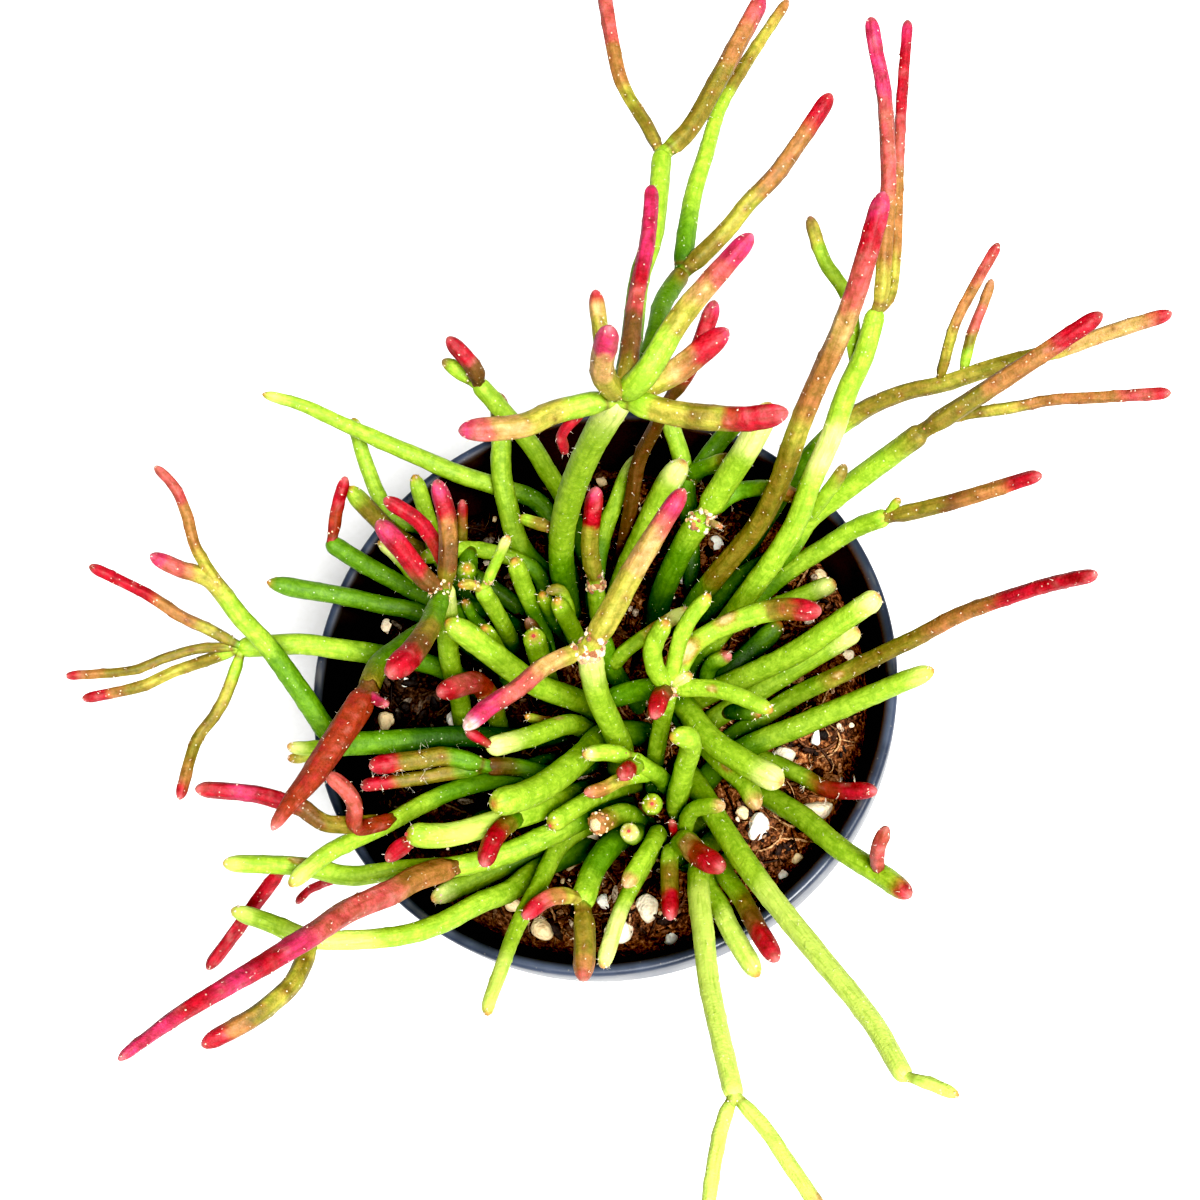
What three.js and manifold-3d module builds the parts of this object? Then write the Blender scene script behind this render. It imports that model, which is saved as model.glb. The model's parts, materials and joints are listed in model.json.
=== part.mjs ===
// A mistletoe cactus in its nursery pot: a clump of pencil-thin, leafless green joints that root in the
// soil, lean out over the rim and branch at their joints. Units are millimetres, +Z is up, and the origin is
// the centre of the pot's flat base.

import * as THREE from "three";
import { mergeVertices } from "three/addons/utils/BufferGeometryUtils.js";
import Module from "manifold-3d";

const wasm = await Module();
wasm.setup();

// ---- Driving dimensions ---------------------------------------------------------------------------------

const POT = {
  height: 85,
  rimDiameter: 102,
  baseDiameter: 72,
  baseRound: 1, // rounding of the edge it stands on
  wall: 1.2,
  floor: 1.6,
  lipDepth: 9, // the rolled band below the rim
  lipOverhang: 1, // how far that band stands proud of the wall
  lipTaper: 0.3, // the band's lower edge is that much narrower than its upper one
  lipRound: 0.8, // rounding of its upper edges
  sides: 40,
};

const DRAIN = { holes: 6, diameter: 8, ringRadius: 24, sides: 8 };

const SOIL = {
  level: 75, // height of its surface, 10 below the rim
  floorGap: 0.3, // clearance to the pot's floor
  wallGap: 0.5, // and to its wall
  swell: 0.7, // height of the soft hummocks in the surface
  hummock: 1.8, // the most that its surface and its grains rise above the level where stems pass
  moatWidth: 5, // the mix has shrunk away from the wall
  moatDepth: 6,
  rings: 5,
  ringBias: 1.15, // above 1 draws the rings outwards, to the moat
  sides: 22,
};

const STEM = {
  sides: 6,
  thinSides: 5, // on stems thinner than thinBelow
  thinBelow: 3.65,
  buried: 10, // depth of each foot in the soil
  holeGap: 0.35, // clearance round a buried foot
  step: 2, // spacing of the points that carry a stem's path
  slack: 0.42, // how far the straight stretches may leave the path
  leastStretch: 1,
  forkReach: 0.55, // how far, in radii, a joint reaches past the fork into the joints that it carries
  footReach: 0.3, // how far, in radii, they reach back into it
};

// Ends of a stem, from the apex inwards: depth below the apex and half width, both in radii of the stem.
const ROUND_END = [[0, 0], [0.38, 0.69], [1.35, 1]];
const JOINT_END = [[0, 0], [0, 0.8]];
const CUT_END = [[0, 0], [0, 1]];

// Stems of one clump press each other aside where they meet.
const CLEARANCE = {
  gap: 0.65, // left between two stems
  reach: 8.5, // stretches nearer than this are watched
  jointFree: 8, // two joints of one shoot may touch this near to where they fork
  rounds: 150,
  lookAgain: 15, // rounds between two searches for neighbours
  haste: 1.3,
};

const TOUCHING = 1e-6; // points nearer than this count as one
const WELD = 1e-4; // corners of a mesh nearer than this are joined

const COLOURS = {
  pot: 0x23242c,
  soil: 0x4a2812,
  deepGreen: 0x3f8f1c,
  lime: 0xa5d62c,
  pale: 0xd4ec74,
  olive: 0xa89a20,
  crimson: 0xd81f3c,
};

// ---- The shoots -----------------------------------------------------------------------------------------
//
// Each shoot is one rooted plantlet. A stem is written as its name, what it grows from, its width at the
// foot and at the tip, and the points that it runs through. +X is the right-hand side and +Y the back.

const partWay = (on, share) => ({ on, share });

function stem(name, from, wide, ...route) {
  const rooted = from === "soil";
  const { on, share } = typeof from === "string" ? partWay(from, 1) : from;
  const points = route.map((point) => new THREE.Vector3(...point));
  return { name, on: rooted ? null : on, share, wide, route: points };
}

const SHOOTS = {
  back_crown: [
    stem("trunk", "soil", [4.3, 4.3], [-8, 16, 75], [-6, 16.5, 92], [-3.5, 18.5, 105], [1, 20, 120],
      [7, 21, 136], [13, 21, 150]),
    stem("left_arm", "trunk", [3.4, 3.4], [4.5, 18.5, 152], [-0.5, 15.5, 154], [-9, 14.5, 156]),
    stem("right_arm", "trunk", [3.8, 3.4], [20.5, 17.5, 151], [30, 15.5, 152], [37, 15.5, 153]),
    stem("small_finger", "trunk", [2.7, 2.2], [12, 22, 156], [11.5, 27.5, 158], [11, 33, 160]),
    stem("raised_finger", "trunk", [3.4, 3.2], [12, 20, 160], [14.5, 21.5, 170]),
    stem("red_rod", "trunk", [2.8, 2.1], [14.5, 23.5, 153], [15.5, 36.5, 150], [17, 47.5, 148],
      [17.5, 58, 146]),
    stem("right_finger", "trunk", [4, 2.8], [17.5, 21.5, 156], [22.5, 28.5, 158], [27, 32, 161],
      [33.5, 37.5, 164]),
    stem("low_finger", "trunk", [3.7, 3.7], [21, 24, 151], [25, 26.5, 152], [29, 29, 153]),
    stem("back_stem", "trunk", [3.2, 3.2], [14.5, 29.5, 147], [15.5, 43, 144], [17.5, 52.5, 142],
      [18.5, 67, 140]),
    stem("top_left", "back_stem", [2, 2.3], [16, 73, 140], [13, 79, 140], [11.5, 84, 141], [9.5, 98, 142]),
    stem("top_mid", "back_stem", [3.1, 2.8], [23, 71.5, 140], [28, 81, 140], [35, 94.5, 141]),
    stem("top_nub", "back_stem", [1.9, 1.7], [22.5, 74.5, 136]),
    stem("back_fork", "trunk", [2.9, 3], [16.5, 34.5, 143], [17.5, 43, 138], [20, 50, 134]),
    stem("top_right", "back_fork", [3.2, 1.8], [22, 64.5, 131], [24.5, 74, 130], [26.5, 82, 129],
      [30, 89.5, 128], [38.5, 104, 127]),
    stem("side_end", "back_fork", [2.9, 2.6], [27, 55, 136], [31.5, 59, 138], [36.5, 63, 140],
      [45, 73, 144]),
    stem("hanging_tip", partWay("left_arm", 0.15), [1.6, 1.5], [4.5, 17, 148], [4, 16, 143]),
    stem("side_nub", partWay("trunk", 0.4), [2.4, 2], [-10.5, 22, 106]),
  ],
  back_woody: [
    stem("foot", "soil", [2.6, 2.4], [2, 22.5, 75], [7, 27.5, 95], [10, 31.5, 105], [13.5, 33, 113],
      [16.5, 34.5, 120]),
    stem("red_end", "foot", [2.4, 2.6], [21, 37.5, 126], [25.5, 45.5, 132]),
  ],
  back_upright: [
    stem("stem", "soil", [4.2, 3.4], [-11, 23, 75], [-14.5, 26, 83], [-15.5, 30.5, 89], [-16, 36, 94],
      [-15.5, 40.5, 97], [-15.5, 48.5, 100]),
  ],
  back_left_forked: [
    stem("stem", "soil", [3.5, 3.3], [-3.5, 24, 75], [-5.5, 31.5, 88], [-7.5, 34.5, 96], [-9.5, 37.5, 101],
      [-14, 42, 108], [-16.5, 44.5, 111]),
    stem("lime_end", "stem", [3.2, 2.6], [-20, 47, 112], [-22.5, 48.5, 113]),
    stem("red_end", "stem", [3, 2.7], [-16.5, 45.5, 116], [-20, 49, 120]),
  ],
  left_back_long: [
    stem("stem", "soil", [3.7, 1.7], [-6.5, 18.5, 75], [-10, 31.5, 84], [-17, 34, 90], [-23.5, 35.5, 94],
      [-30, 38, 97], [-36.5, 40.5, 100], [-42.5, 42.5, 104], [-48.5, 44.5, 108], [-54.5, 45.5, 111]),
  ],
  left_back_pair: [
    stem("upper", "soil", [3.2, 3.4], [-16, 16.5, 75], [-26, 23, 80], [-35.5, 27, 87], [-40.5, 31, 94],
      [-42.5, 33, 98]),
    stem("lower", partWay("upper", 0.35), [3, 2.6], [-30.5, 28.5, 85], [-37.5, 31, 87], [-40.5, 38, 93],
      [-42.5, 46.5, 97]),
  ],
  left_back_red: [
    stem("stem", "soil", [3.3, 3.3], [-19.5, 11, 75], [-30, 16, 82], [-37, 19, 88], [-41.5, 21, 92],
      [-45.5, 23, 96]),
    stem("red_end", "stem", [2.2, 2], [-43.5, 28.5, 100], [-41, 32, 104]),
    stem("nub", partWay("stem", 0.42), [2.1, 2], [-35, 22, 88], [-38.5, 25, 91]),
  ],
  left_plain: [
    stem("stem", "soil", [3.3, 3.4], [-18.5, 5, 75], [-30.5, 13, 84], [-38.5, 14.5, 88], [-44.5, 15, 92],
      [-51, 15.5, 95], [-56, 16, 98]),
  ],
  left_inner_fingers: [
    stem("lime", "soil", [2.9, 2.8], [-24.5, 18.5, 75], [-28, 23.5, 88], [-28, 26.5, 95], [-29, 32.5, 103]),
    stem("thin", partWay("lime", 0.25), [2, 1.9], [-24, 25, 87], [-23, 28.5, 91], [-22.5, 31.5, 94]),
  ],
  left_inner_low: [
    stem("stem", "soil", [2.9, 2.9], [-8.5, 13.5, 75], [-9.5, 20.5, 84], [-16.5, 22.5, 90],
      [-22.5, 21.5, 95], [-28, 18.5, 99]),
    stem("stub", partWay("stem", 0.72), [3.3, 3.4], [-20, 15.5, 98], [-18.5, 14, 105]),
  ],
  left_inner_fork: [
    stem("stem", "soil", [3, 3], [-16, 8, 75], [-15, 7.5, 95], [-15.5, 8.5, 108]),
    stem("hairy_end", "stem", [2, 1.8], [-12, 13, 112], [-10, 15, 115]),
    stem("side_end", "stem", [2, 2], [-17.5, 9, 110], [-19, 8.5, 111]),
    stem("back_nub", partWay("stem", 0.25), [2.2, 2], [-20.5, 9.5, 90], [-22, 12, 95]),
  ],
  left_pillar: [
    stem("pillar", "soil", [3.7, 3.5], [-25.5, -3.5, 75], [-25, 0, 82], [-24, 3, 95], [-22, 5, 105],
      [-20, 5.5, 116]),
    stem("rod", "pillar", [3.1, 3], [-18.5, 9.5, 120], [-18, 14.5, 124], [-19, 19.5, 128]),
    stem("finger", "pillar", [3.3, 3.2], [-22.5, 6.5, 119], [-25.5, 10.5, 123], [-28.5, 13.5, 127]),
    stem("back_finger", "pillar", [2.6, 2.4], [-19.5, 9, 117], [-23, 15.5, 118], [-26, 18, 120],
      [-29, 19.5, 122]),
    stem("club", "pillar", [3, 4.1], [-20.5, 1, 119], [-20.5, -3, 123], [-22, -9, 128], [-24, -13.5, 133]),
  ],
  left_blob: [
    stem("stem", "soil", [3.4, 3.9], [-18.5, -7.5, 75], [-18, -5, 88], [-18.5, -4, 95], [-20, -5, 99],
      [-23.5, -8, 104]),
  ],
  middle_left_stub: [
    stem("stub", "soil", [2.9, 3], [-18, 2.5, 75], [-17, 4, 90], [-17, 4.5, 102]),
    stem("low", partWay("stub", 0.15), [2.4, 2.4], [-12.5, 3.5, 82], [-19.5, 7.5, 86]),
  ],
  middle_left_long: [
    stem("stem", "soil", [4.1, 4], [0, -8, 75], [-2, -6, 82], [-8.5, -5, 95], [-12.5, -3, 103],
      [-16.5, -0.5, 110], [-20, 1.5, 114]),
  ],
  middle_stubs: [
    stem("front", "soil", [3.9, 3.8], [-11, 1, 75], [-9.5, 1.5, 92], [-7.5, 0.5, 108]),
    stem("back", partWay("front", 0.1), [3.3, 3.2], [-10, 8.5, 84], [-11, 13, 97], [-11, 14.5, 105]),
    stem("dark", partWay("front", 0.15), [2.6, 2.4], [-10.5, 7, 84], [-12, 10.5, 92]),
  ],
  middle_fingers: [
    stem("finger", "soil", [3.3, 3.2], [-2.5, 7, 75], [-2.5, 6.5, 90], [-3.5, 8, 104]),
    stem("small", partWay("finger", 0.1), [2.6, 2.6], [-7, 10, 86], [-8, 12, 97]),
    stem("bridge", partWay("finger", 0.6), [2.4, 2.3], [-3.5, 11, 99], [-6, 11, 100]),
  ],
  middle_back: [
    stem("stem", "soil", [3.3, 3.3], [6.5, -1.5, 75], [4, 0.5, 82], [3, 2.5, 90], [2.5, 5, 96]),
    stem("lime", partWay("stem", 0.5), [2.7, 2.4], [5.5, 2, 92], [10.5, 4.5, 95], [17.5, 7, 99]),
  ],
  middle_pink_fork: [
    stem("pillar", "soil", [4.2, 4], [1, -15.5, 75], [1.5, -13, 86], [2, -11.5, 98], [2, -9.5, 108],
      [3, -6, 120]),
    stem("back_arm", "pillar", [4.1, 3], [7, -2, 123], [11, 3, 126], [14.5, 7.5, 128], [17, 11, 129],
      [20, 14.5, 131]),
    stem("front_arm", "pillar", [2.9, 2.8], [-2.5, -9.5, 123], [-6, -13.5, 125], [-10, -17, 127],
      [-13.5, -21, 129]),
  ],
  middle_pale: [
    stem("stem", "soil", [3.9, 3.4], [2.5, -10, 75], [-1, -10, 87], [-8, -14.5, 97], [-12.5, -18, 105]),
    stem("red_end", "stem", [1.9, 1.8], [-16.5, -16, 108]),
    stem("dot_end", partWay("stem", 0.25), [1.8, 1.7], [-6, -10, 90], [-8, -10, 93]),
  ],
  middle_thick: [
    stem("stem", "soil", [4.5, 4.6], [7, -8.5, 75], [1.5, -10.5, 82], [-1, -16.5, 92], [-6.5, -24.5, 104],
      [-12, -28.5, 112]),
  ],
  middle_knot: [
    stem("foot", "soil", [3.2, 3], [12.5, -18, 75], [12, -19, 90], [11, -19.5, 96], [9, -19, 101]),
    stem("left_end", "foot", [3, 2.8], [5.5, -18.5, 104], [1.5, -19.5, 107]),
    stem("red_end", partWay("foot", 0.9), [2.8, 2.8], [8.5, -22, 106], [8, -24, 109]),
    stem("side_end", partWay("foot", 0.7), [2.3, 2.3], [7, -22, 101], [4, -24, 103], [1.5, -25, 105]),
  ],
  middle_bent: [
    stem("finger", "soil", [3.8, 3.6], [15, -24, 75], [12.5, -23, 84], [15, -20, 96], [17, -18, 103],
      [17, -17.5, 108], [14.5, -18, 110]),
  ],
  middle_fork: [
    stem("foot", "soil", [3.2, 3], [8, -20, 75], [9.5, -15, 84], [12, -10.5, 93], [14, -8, 101]),
    stem("left_arm", "foot", [3.5, 3.6], [9, -6.5, 97], [2, -6.5, 92]),
    stem("dot_end", partWay("foot", 0.03), [3.3, 3.3], [10, -24, 88], [11.5, -27, 101]),
    stem("bent_end", "foot", [3.2, 3], [12.5, -6, 106], [12.5, -4, 110], [14, -2, 113], [15.5, -1.5, 116]),
    stem("back_end", "foot", [2.8, 2.6], [18.5, 0, 108], [23, 4, 112]),
    stem("right_arm", "foot", [3, 3.6], [17, -3, 104], [19.5, -1, 106], [26.5, 1.5, 108], [33, 2, 110],
      [39, 0.5, 112]),
    stem("nub", "foot", [3, 2.9], [18, -6.5, 104]),
    stem("red_end", "foot", [2.8, 3.1], [13, -11, 106], [12.5, -15, 109]),
    stem("long_end", "foot", [3, 2.6], [19, -8.5, 103], [24, -10, 105], [31, -14, 107]),
  ],
  right_upper: [
    stem("stem", "soil", [4.2, 3.6], [15, -3, 75], [20.5, -2.5, 82], [33.5, 0, 92], [40, 2, 98],
      [48.5, 5.5, 104]),
    stem("nub", partWay("stem", 0.12), [2.7, 2.7], [19.5, 1, 84], [23.5, 2, 87]),
    stem("dark", partWay("stem", 0.12), [3.8, 3.8], [25, 3.5, 80], [32, 8.5, 84]),
  ],
  right_lower: [
    stem("stem", "soil", [4.1, 3.4], [18, -7, 75], [25.5, -4, 80], [34.5, -0.5, 86], [45, 3.5, 92]),
    stem("dark", partWay("stem", 0.1), [3, 2.8], [23, -6.5, 80], [28, -8, 83]),
  ],
  right_long: [
    stem("stem", "soil", [3.6, 2.1], [19, -11.5, 75], [31, -5.5, 82], [39.5, -4, 90], [48, -2.5, 98],
      [54.5, -1.5, 104], [60.5, -0.5, 110], [66.5, -0.5, 116], [73.5, -0.5, 122], [79.5, -1.5, 128]),
  ],
  right_front: [
    stem("stem", "soil", [4.3, 3.2], [16.5, -14.5, 75], [24, -11, 80], [34.5, -9.5, 86], [43, -8, 91],
      [51, -6.5, 96], [56.5, -5.5, 99]),
  ],
  right_hairy: [
    stem("stem", "soil", [2.9, 2.8], [16.5, -10, 75], [27, -13.5, 80], [34, -18, 84], [39, -21.5, 87],
      [46.5, -23, 91]),
  ],
  right_bud: [
    stem("stem", "soil", [4.1, 3.4], [20, -15, 75], [28, -21.5, 82], [34, -26.5, 87], [40, -33, 93],
      [46.5, -38.5, 98], [50.5, -42.5, 102]),
    stem("pink_end", partWay("stem", 0.84), [2.2, 2.1], [46, -36, 105], [47.5, -33.5, 110]),
  ],
  front_right_pair: [
    stem("upper", "soil", [4.4, 4.2], [8.5, 0, 75], [13, -4.5, 84], [19.5, -14, 92], [25.5, -19.5, 97],
      [31.5, -24, 101]),
    stem("lower", partWay("upper", 0.1), [3.9, 3.5], [15.5, -9.5, 83], [21, -16.5, 87], [25, -21, 90],
      [27, -26, 93]),
  ],
  right_back_pair: [
    stem("upper", "soil", [3.4, 3.2], [16.5, 7.5, 75], [24.5, 14, 82], [32, 17.5, 87], [39, 19.5, 92],
      [44.5, 21, 96], [49.5, 21, 100]),
    stem("red_end", "upper", [2.9, 2.3], [57.5, 21, 103], [63.5, 21, 106], [70, 21.5, 109],
      [74.5, 21.5, 112]),
    stem("nub", "upper", [1.8, 1.7], [52, 23, 103]),
    stem("lower", partWay("upper", 0.2), [3.5, 3.3], [27.5, 13.5, 82], [39.5, 16, 88]),
  ],
  right_back_red: [
    stem("stem", "soil", [4.2, 3.5], [17.5, 11.5, 75], [25.5, 15, 84], [33, 17, 92], [37, 20.5, 99],
      [41.5, 22.5, 104], [48, 25, 110], [55.5, 27.5, 117]),
    stem("red_end", "stem", [3.2, 2.5], [62.5, 30, 121], [68.5, 32.5, 124], [74.5, 35, 127],
      [83.5, 39, 131]),
    stem("thin_end", "stem", [1.9, 1.8], [61, 30, 117], [69.5, 30, 119], [76, 30, 121], [83, 29, 123],
      [93, 27.5, 126]),
    stem("nub", partWay("stem", 0.52), [2.6, 2.3], [43, 23.5, 108], [45, 26, 110]),
  ],
  right_back_long: [
    stem("stem", "soil", [3.8, 2.3], [19, 17, 75], [29, 26, 88], [38, 34, 97], [46, 38.5, 102],
      [53.5, 40, 106], [61, 40, 109], [69.5, 41, 112], [79, 41.5, 115], [86.5, 42.5, 118],
      [95.5, 43.5, 121]),
    stem("fork_one", partWay("stem", 0.62), [1.8, 1.7], [62.5, 46, 117], [65.5, 51, 119], [70, 57, 123]),
    stem("fork_two", partWay("stem", 0.65), [1.8, 1.7], [65.5, 46.5, 113], [67.5, 50.5, 115],
      [69, 54, 117]),
  ],
  back_right_tall: [
    stem("stem", "soil", [4.2, 3.2], [15, 3.5, 75], [24, 10, 88], [31, 15, 98], [35.5, 19.5, 104],
      [38.5, 24, 110], [42, 28.5, 116], [45, 34, 121], [48, 38, 126], [50, 42.5, 130]),
    stem("long_end", "stem", [2.4, 2.2], [51, 45, 132], [52, 52, 135], [53, 60.5, 138], [53, 72.5, 142],
      [52, 79.5, 145], [51.5, 84, 147]),
    stem("thin_end", "stem", [1.9, 1.7], [52.5, 46, 130], [54, 57, 132], [55, 68.5, 134], [56, 78, 136],
      [57.5, 89.5, 138]),
    stem("side_end", partWay("stem", 0.88), [2.3, 2.2], [46, 47.5, 125], [42.5, 54, 127], [40.5, 61, 129]),
  ],
  back_right_red: [
    stem("stem", "soil", [4, 3.1], [15, 11.5, 75], [18.5, 14.5, 82], [23.5, 17, 90], [29.5, 20.5, 98],
      [33, 23.5, 105], [35.5, 26.5, 112], [38, 30, 119], [41.5, 34.5, 126], [44.5, 38, 132],
      [47, 41.5, 138], [49, 45, 143], [52, 52.5, 148]),
  ],
  back_right_jointed: [
    stem("foot", "soil", [4.5, 4.3], [10.5, 12, 75], [12.5, 16.5, 82], [17, 21, 92], [20.5, 23, 98]),
    stem("top", "foot", [4.4, 4.2], [25, 27, 105], [29.5, 30.5, 112], [33, 34, 118]),
    stem("stalk", "foot", [1.4, 1.2], [24, 19.5, 102]),
    stem("side_end", "foot", [3, 2.9], [25.5, 27.5, 97], [31.5, 26, 101], [36, 22, 105]),
  ],
  back_right_green: [
    stem("stem", "soil", [3.2, 3.1], [17, 17, 75], [17, 24.5, 83], [17, 30.5, 89], [16.5, 35.5, 95],
      [15, 40.5, 99], [14.5, 43.5, 102]),
    stem("nub", partWay("stem", 0.62), [3, 3], [21, 33, 97], [26, 32.5, 101]),
    stem("back", partWay("stem", 0.6), [3.4, 3.2], [22.5, 39, 93], [28, 43.5, 96]),
  ],
  back_lime: [
    stem("stem", "soil", [4.3, 4.3], [-1, 13, 75], [3.5, 19, 84], [8.5, 24, 92], [13.5, 29, 100],
      [17, 31, 105]),
  ],
  back_finger_pair: [
    stem("lime", "soil", [3.2, 3.2], [-1.5, 7.5, 75], [-1, 11.5, 86], [-0.5, 14.5, 92]),
    stem("yellow", "lime", [3.2, 3], [0, 18, 99], [1.5, 21, 105], [3, 24.5, 110]),
    stem("green", partWay("lime", 0.3), [3.6, 2.5], [-1.5, 15.5, 82], [1, 23.5, 87], [4.5, 28.5, 92],
      [7.5, 33, 96], [10.5, 34.5, 99]),
  ],
  left_long: [
    stem("stem", "soil", [3.6, 3.5], [-19.5, -0.5, 75], [-28, 2.5, 85], [-36, 3, 92], [-42.5, 3, 97],
      [-48.5, 3, 101], [-57, 1.5, 105]),
    stem("upper_end", "stem", [2.1, 1.9], [-62, 4, 108], [-66.5, 6, 110], [-71, 9, 112], [-76, 11.5, 114],
      [-80.5, 13.5, 116]),
    stem("mid_end", "stem", [1.7, 1.5], [-64, 1.5, 106], [-70.5, -0.5, 107], [-75, -2.5, 108],
      [-85.5, -3.5, 110]),
    stem("low_end", "stem", [2, 1.9], [-65, 0, 103], [-70, -1.5, 103], [-75, -4, 104], [-84.5, -6, 105]),
    stem("hanging_end", "stem", [2.1, 1.9], [-60, -7, 104], [-62, -10.5, 104], [-64.5, -14.5, 104],
      [-66, -24, 105]),
  ],
  left_raised: [
    stem("stem", "soil", [4.1, 3.9], [-8, -7.5, 75], [-14.5, -9, 80], [-23, -10, 87], [-32.5, -12, 93],
      [-42, -14, 99]),
    stem("split_top", "stem", [2.8, 2.2], [-46.5, -15, 101], [-49, -15, 103]),
    stem("split_low", "stem", [2.6, 2], [-47.5, -16, 100], [-49.5, -16.5, 101]),
    stem("raised", "stem", [3.8, 2.6], [-46, -7, 107], [-49.5, -1.5, 113], [-53, 2.5, 118],
      [-56.5, 7, 123], [-60.5, 8, 126], [-64.5, 9.5, 129]),
    stem("back_end", partWay("raised", 0.66), [2, 1.6], [-57.5, 10.5, 127], [-58, 14, 130],
      [-58.5, 16.5, 132], [-59.5, 19, 134], [-62, 21.5, 136]),
  ],
  left_crimson: [
    stem("stem", "soil", [3.7, 3.6], [-14, 9, 75], [-19.5, 11.5, 84], [-23.5, 11, 90], [-27, 5.5, 98],
      [-30, 0.5, 104], [-32, -4.5, 110], [-32.5, -9.5, 114]),
    stem("crimson", "stem", [4.4, 1.4], [-34, -15.5, 118], [-36, -21, 121], [-38, -26.5, 124],
      [-40, -31, 127], [-41.5, -35.5, 130]),
    stem("bud", "stem", [1.8, 1.5], [-30.5, -12, 116], [-28, -13.5, 118]),
  ],
  left_low_forked: [
    stem("stem", "soil", [3.7, 2.7], [-8, -11, 75], [-16.5, -16, 84], [-24, -20, 91], [-28.5, -23.5, 95],
      [-32, -27, 99], [-36, -30, 102], [-40, -33, 105], [-43.5, -36.5, 107], [-45.5, -39, 108]),
    stem("curl", partWay("stem", 0.62), [2.7, 2.5], [-35.5, -29.5, 106], [-35, -27, 110], [-36, -25, 113],
      [-38.5, -23, 115]),
    stem("long_end", partWay("stem", 0.64), [2.8, 2.6], [-40, -29, 107], [-43.5, -27, 109],
      [-47, -26, 111], [-51.5, -25, 112], [-60, -24.5, 114]),
    stem("dark", partWay("stem", 0.08), [3.6, 3.6], [-12.5, -19.5, 81], [-22, -25, 86]),
  ],
  left_frizzy: [
    stem("stem", "soil", [3.3, 3.2], [-1, -12.5, 75], [-6.5, -17.5, 86], [-12.5, -17, 90],
      [-16.5, -17.5, 93]),
    stem("upper_end", "stem", [3.2, 3.1], [-23, -16.5, 97], [-27.5, -17.5, 99], [-35, -19, 102]),
    stem("lower_end", "stem", [2.6, 2.4], [-24, -18.5, 93], [-28.5, -19.5, 94], [-38, -21, 96]),
  ],
  left_front_long: [
    stem("stem", "soil", [4.3, 2.9], [4.5, -19, 75], [-1.5, -22.5, 84], [-7.5, -27.5, 90], [-15, -32, 94],
      [-22.5, -34.5, 97], [-30.5, -35, 98], [-38.5, -36, 99], [-46.5, -34.5, 100], [-59, -34, 102]),
    stem("crimson", partWay("stem", 0.5), [3.9, 1.4], [-26, -38, 105], [-28.5, -41, 110], [-33, -45, 117],
      [-36.5, -50, 124], [-40.5, -54.5, 130], [-44, -58.5, 136], [-48, -62.5, 141], [-51.5, -66.5, 145],
      [-54.5, -70, 148]),
    stem("red_end", partWay("stem", 0.88), [2.4, 2.2], [-55, -40, 97], [-58.5, -44.5, 96], [-63, -50, 95]),
    stem("small_end", partWay("stem", 0.73), [1.5, 1.3], [-46.5, -37, 94], [-49.5, -39, 92]),
  ],
  left_front_pale: [
    stem("stem", "soil", [3.9, 4], [-0.5, -17, 75], [-6.5, -24.5, 90], [-14, -29, 99], [-20.5, -32, 105],
      [-26, -32.5, 109]),
    stem("red_end", partWay("stem", 0.5), [3.1, 3.1], [-12.5, -32, 104], [-13.5, -38, 109]),
    stem("tip_end", partWay("stem", 0.95), [2.9, 2.8], [-28, -34, 106], [-30, -36, 106]),
  ],
  left_front_bow: [
    stem("stem", "soil", [4.4, 2.8], [-2.5, -26.5, 75], [-10, -32, 83], [-14, -37, 89], [-18, -40, 94],
      [-23.5, -44, 98], [-29, -46.5, 102], [-36, -47.5, 105], [-42, -47.5, 107], [-48.5, -45, 108],
      [-54.5, -43, 109]),
    stem("olive_end", partWay("stem", 0.8), [3, 2.8], [-42.5, -54.5, 112], [-44.5, -58, 115],
      [-47.5, -61, 117], [-54, -65, 119]),
    stem("under_end", partWay("stem", 0.05), [3.8, 3.5], [-14.5, -30, 80], [-21, -34, 84],
      [-27.5, -38, 88]),
  ],
  front_left_dot: [
    stem("stem", "soil", [3, 3.3], [3.5, -15.5, 75], [0, -19, 84], [-3.5, -23.5, 92], [-7.5, -28, 97]),
  ],
  front_left_pale: [
    stem("stem", "soil", [3.8, 2.1], [-1, -22.5, 75], [-6, -28, 86], [-8, -36.5, 94], [-10, -44.5, 101],
      [-11, -51.5, 107], [-12, -58, 112], [-12, -60, 113]),
  ],
  front_left_forked: [
    stem("stem", "soil", [4.1, 4], [8, -22, 75], [5, -27, 86], [2, -33, 92], [0.5, -39.5, 96]),
    stem("bent_end", "stem", [2.7, 2.6], [-1.5, -39, 98], [-5, -40, 100], [-8.5, -43.5, 102]),
    stem("down_end", "stem", [3.6, 3.4], [1, -45.5, 98], [1, -53, 100]),
    stem("cut_end", partWay("stem", 0.05), [3.6, 3.6], [6.5, -23, 87], [2.5, -26.5, 94]),
    stem("dot_end", partWay("stem", 0.12), [3.1, 3.1], [7.5, -28, 90], [8, -29.5, 99]),
  ],
  front_thin_pair: [
    stem("long", "soil", [2.8, 2.6], [9.5, -27, 75], [9, -29.5, 83], [7, -34.5, 86], [4.5, -41, 90],
      [2, -51, 94]),
    stem("short", partWay("long", 0.1), [3.1, 3.1], [10, -28, 87], [9, -32.5, 94], [6, -39, 99]),
  ],
  front_red_pair: [
    stem("down", "soil", [3, 2.9], [13.5, -30, 75], [12, -29, 85], [12, -34.5, 89], [12.5, -42, 93]),
    stem("side", partWay("down", 0.15), [3.9, 3.8], [16, -29.5, 89], [18.5, -33, 95], [23, -37, 101]),
    stem("red_tip", partWay("down", 0.2), [2.8, 2.7], [15.5, -27, 91], [18.5, -27, 96], [22, -28, 100]),
    stem("bud", partWay("down", 0.22), [1.5, 1.4], [13, -26.5, 92]),
  ],
  front_right_lime_pair: [
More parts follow.
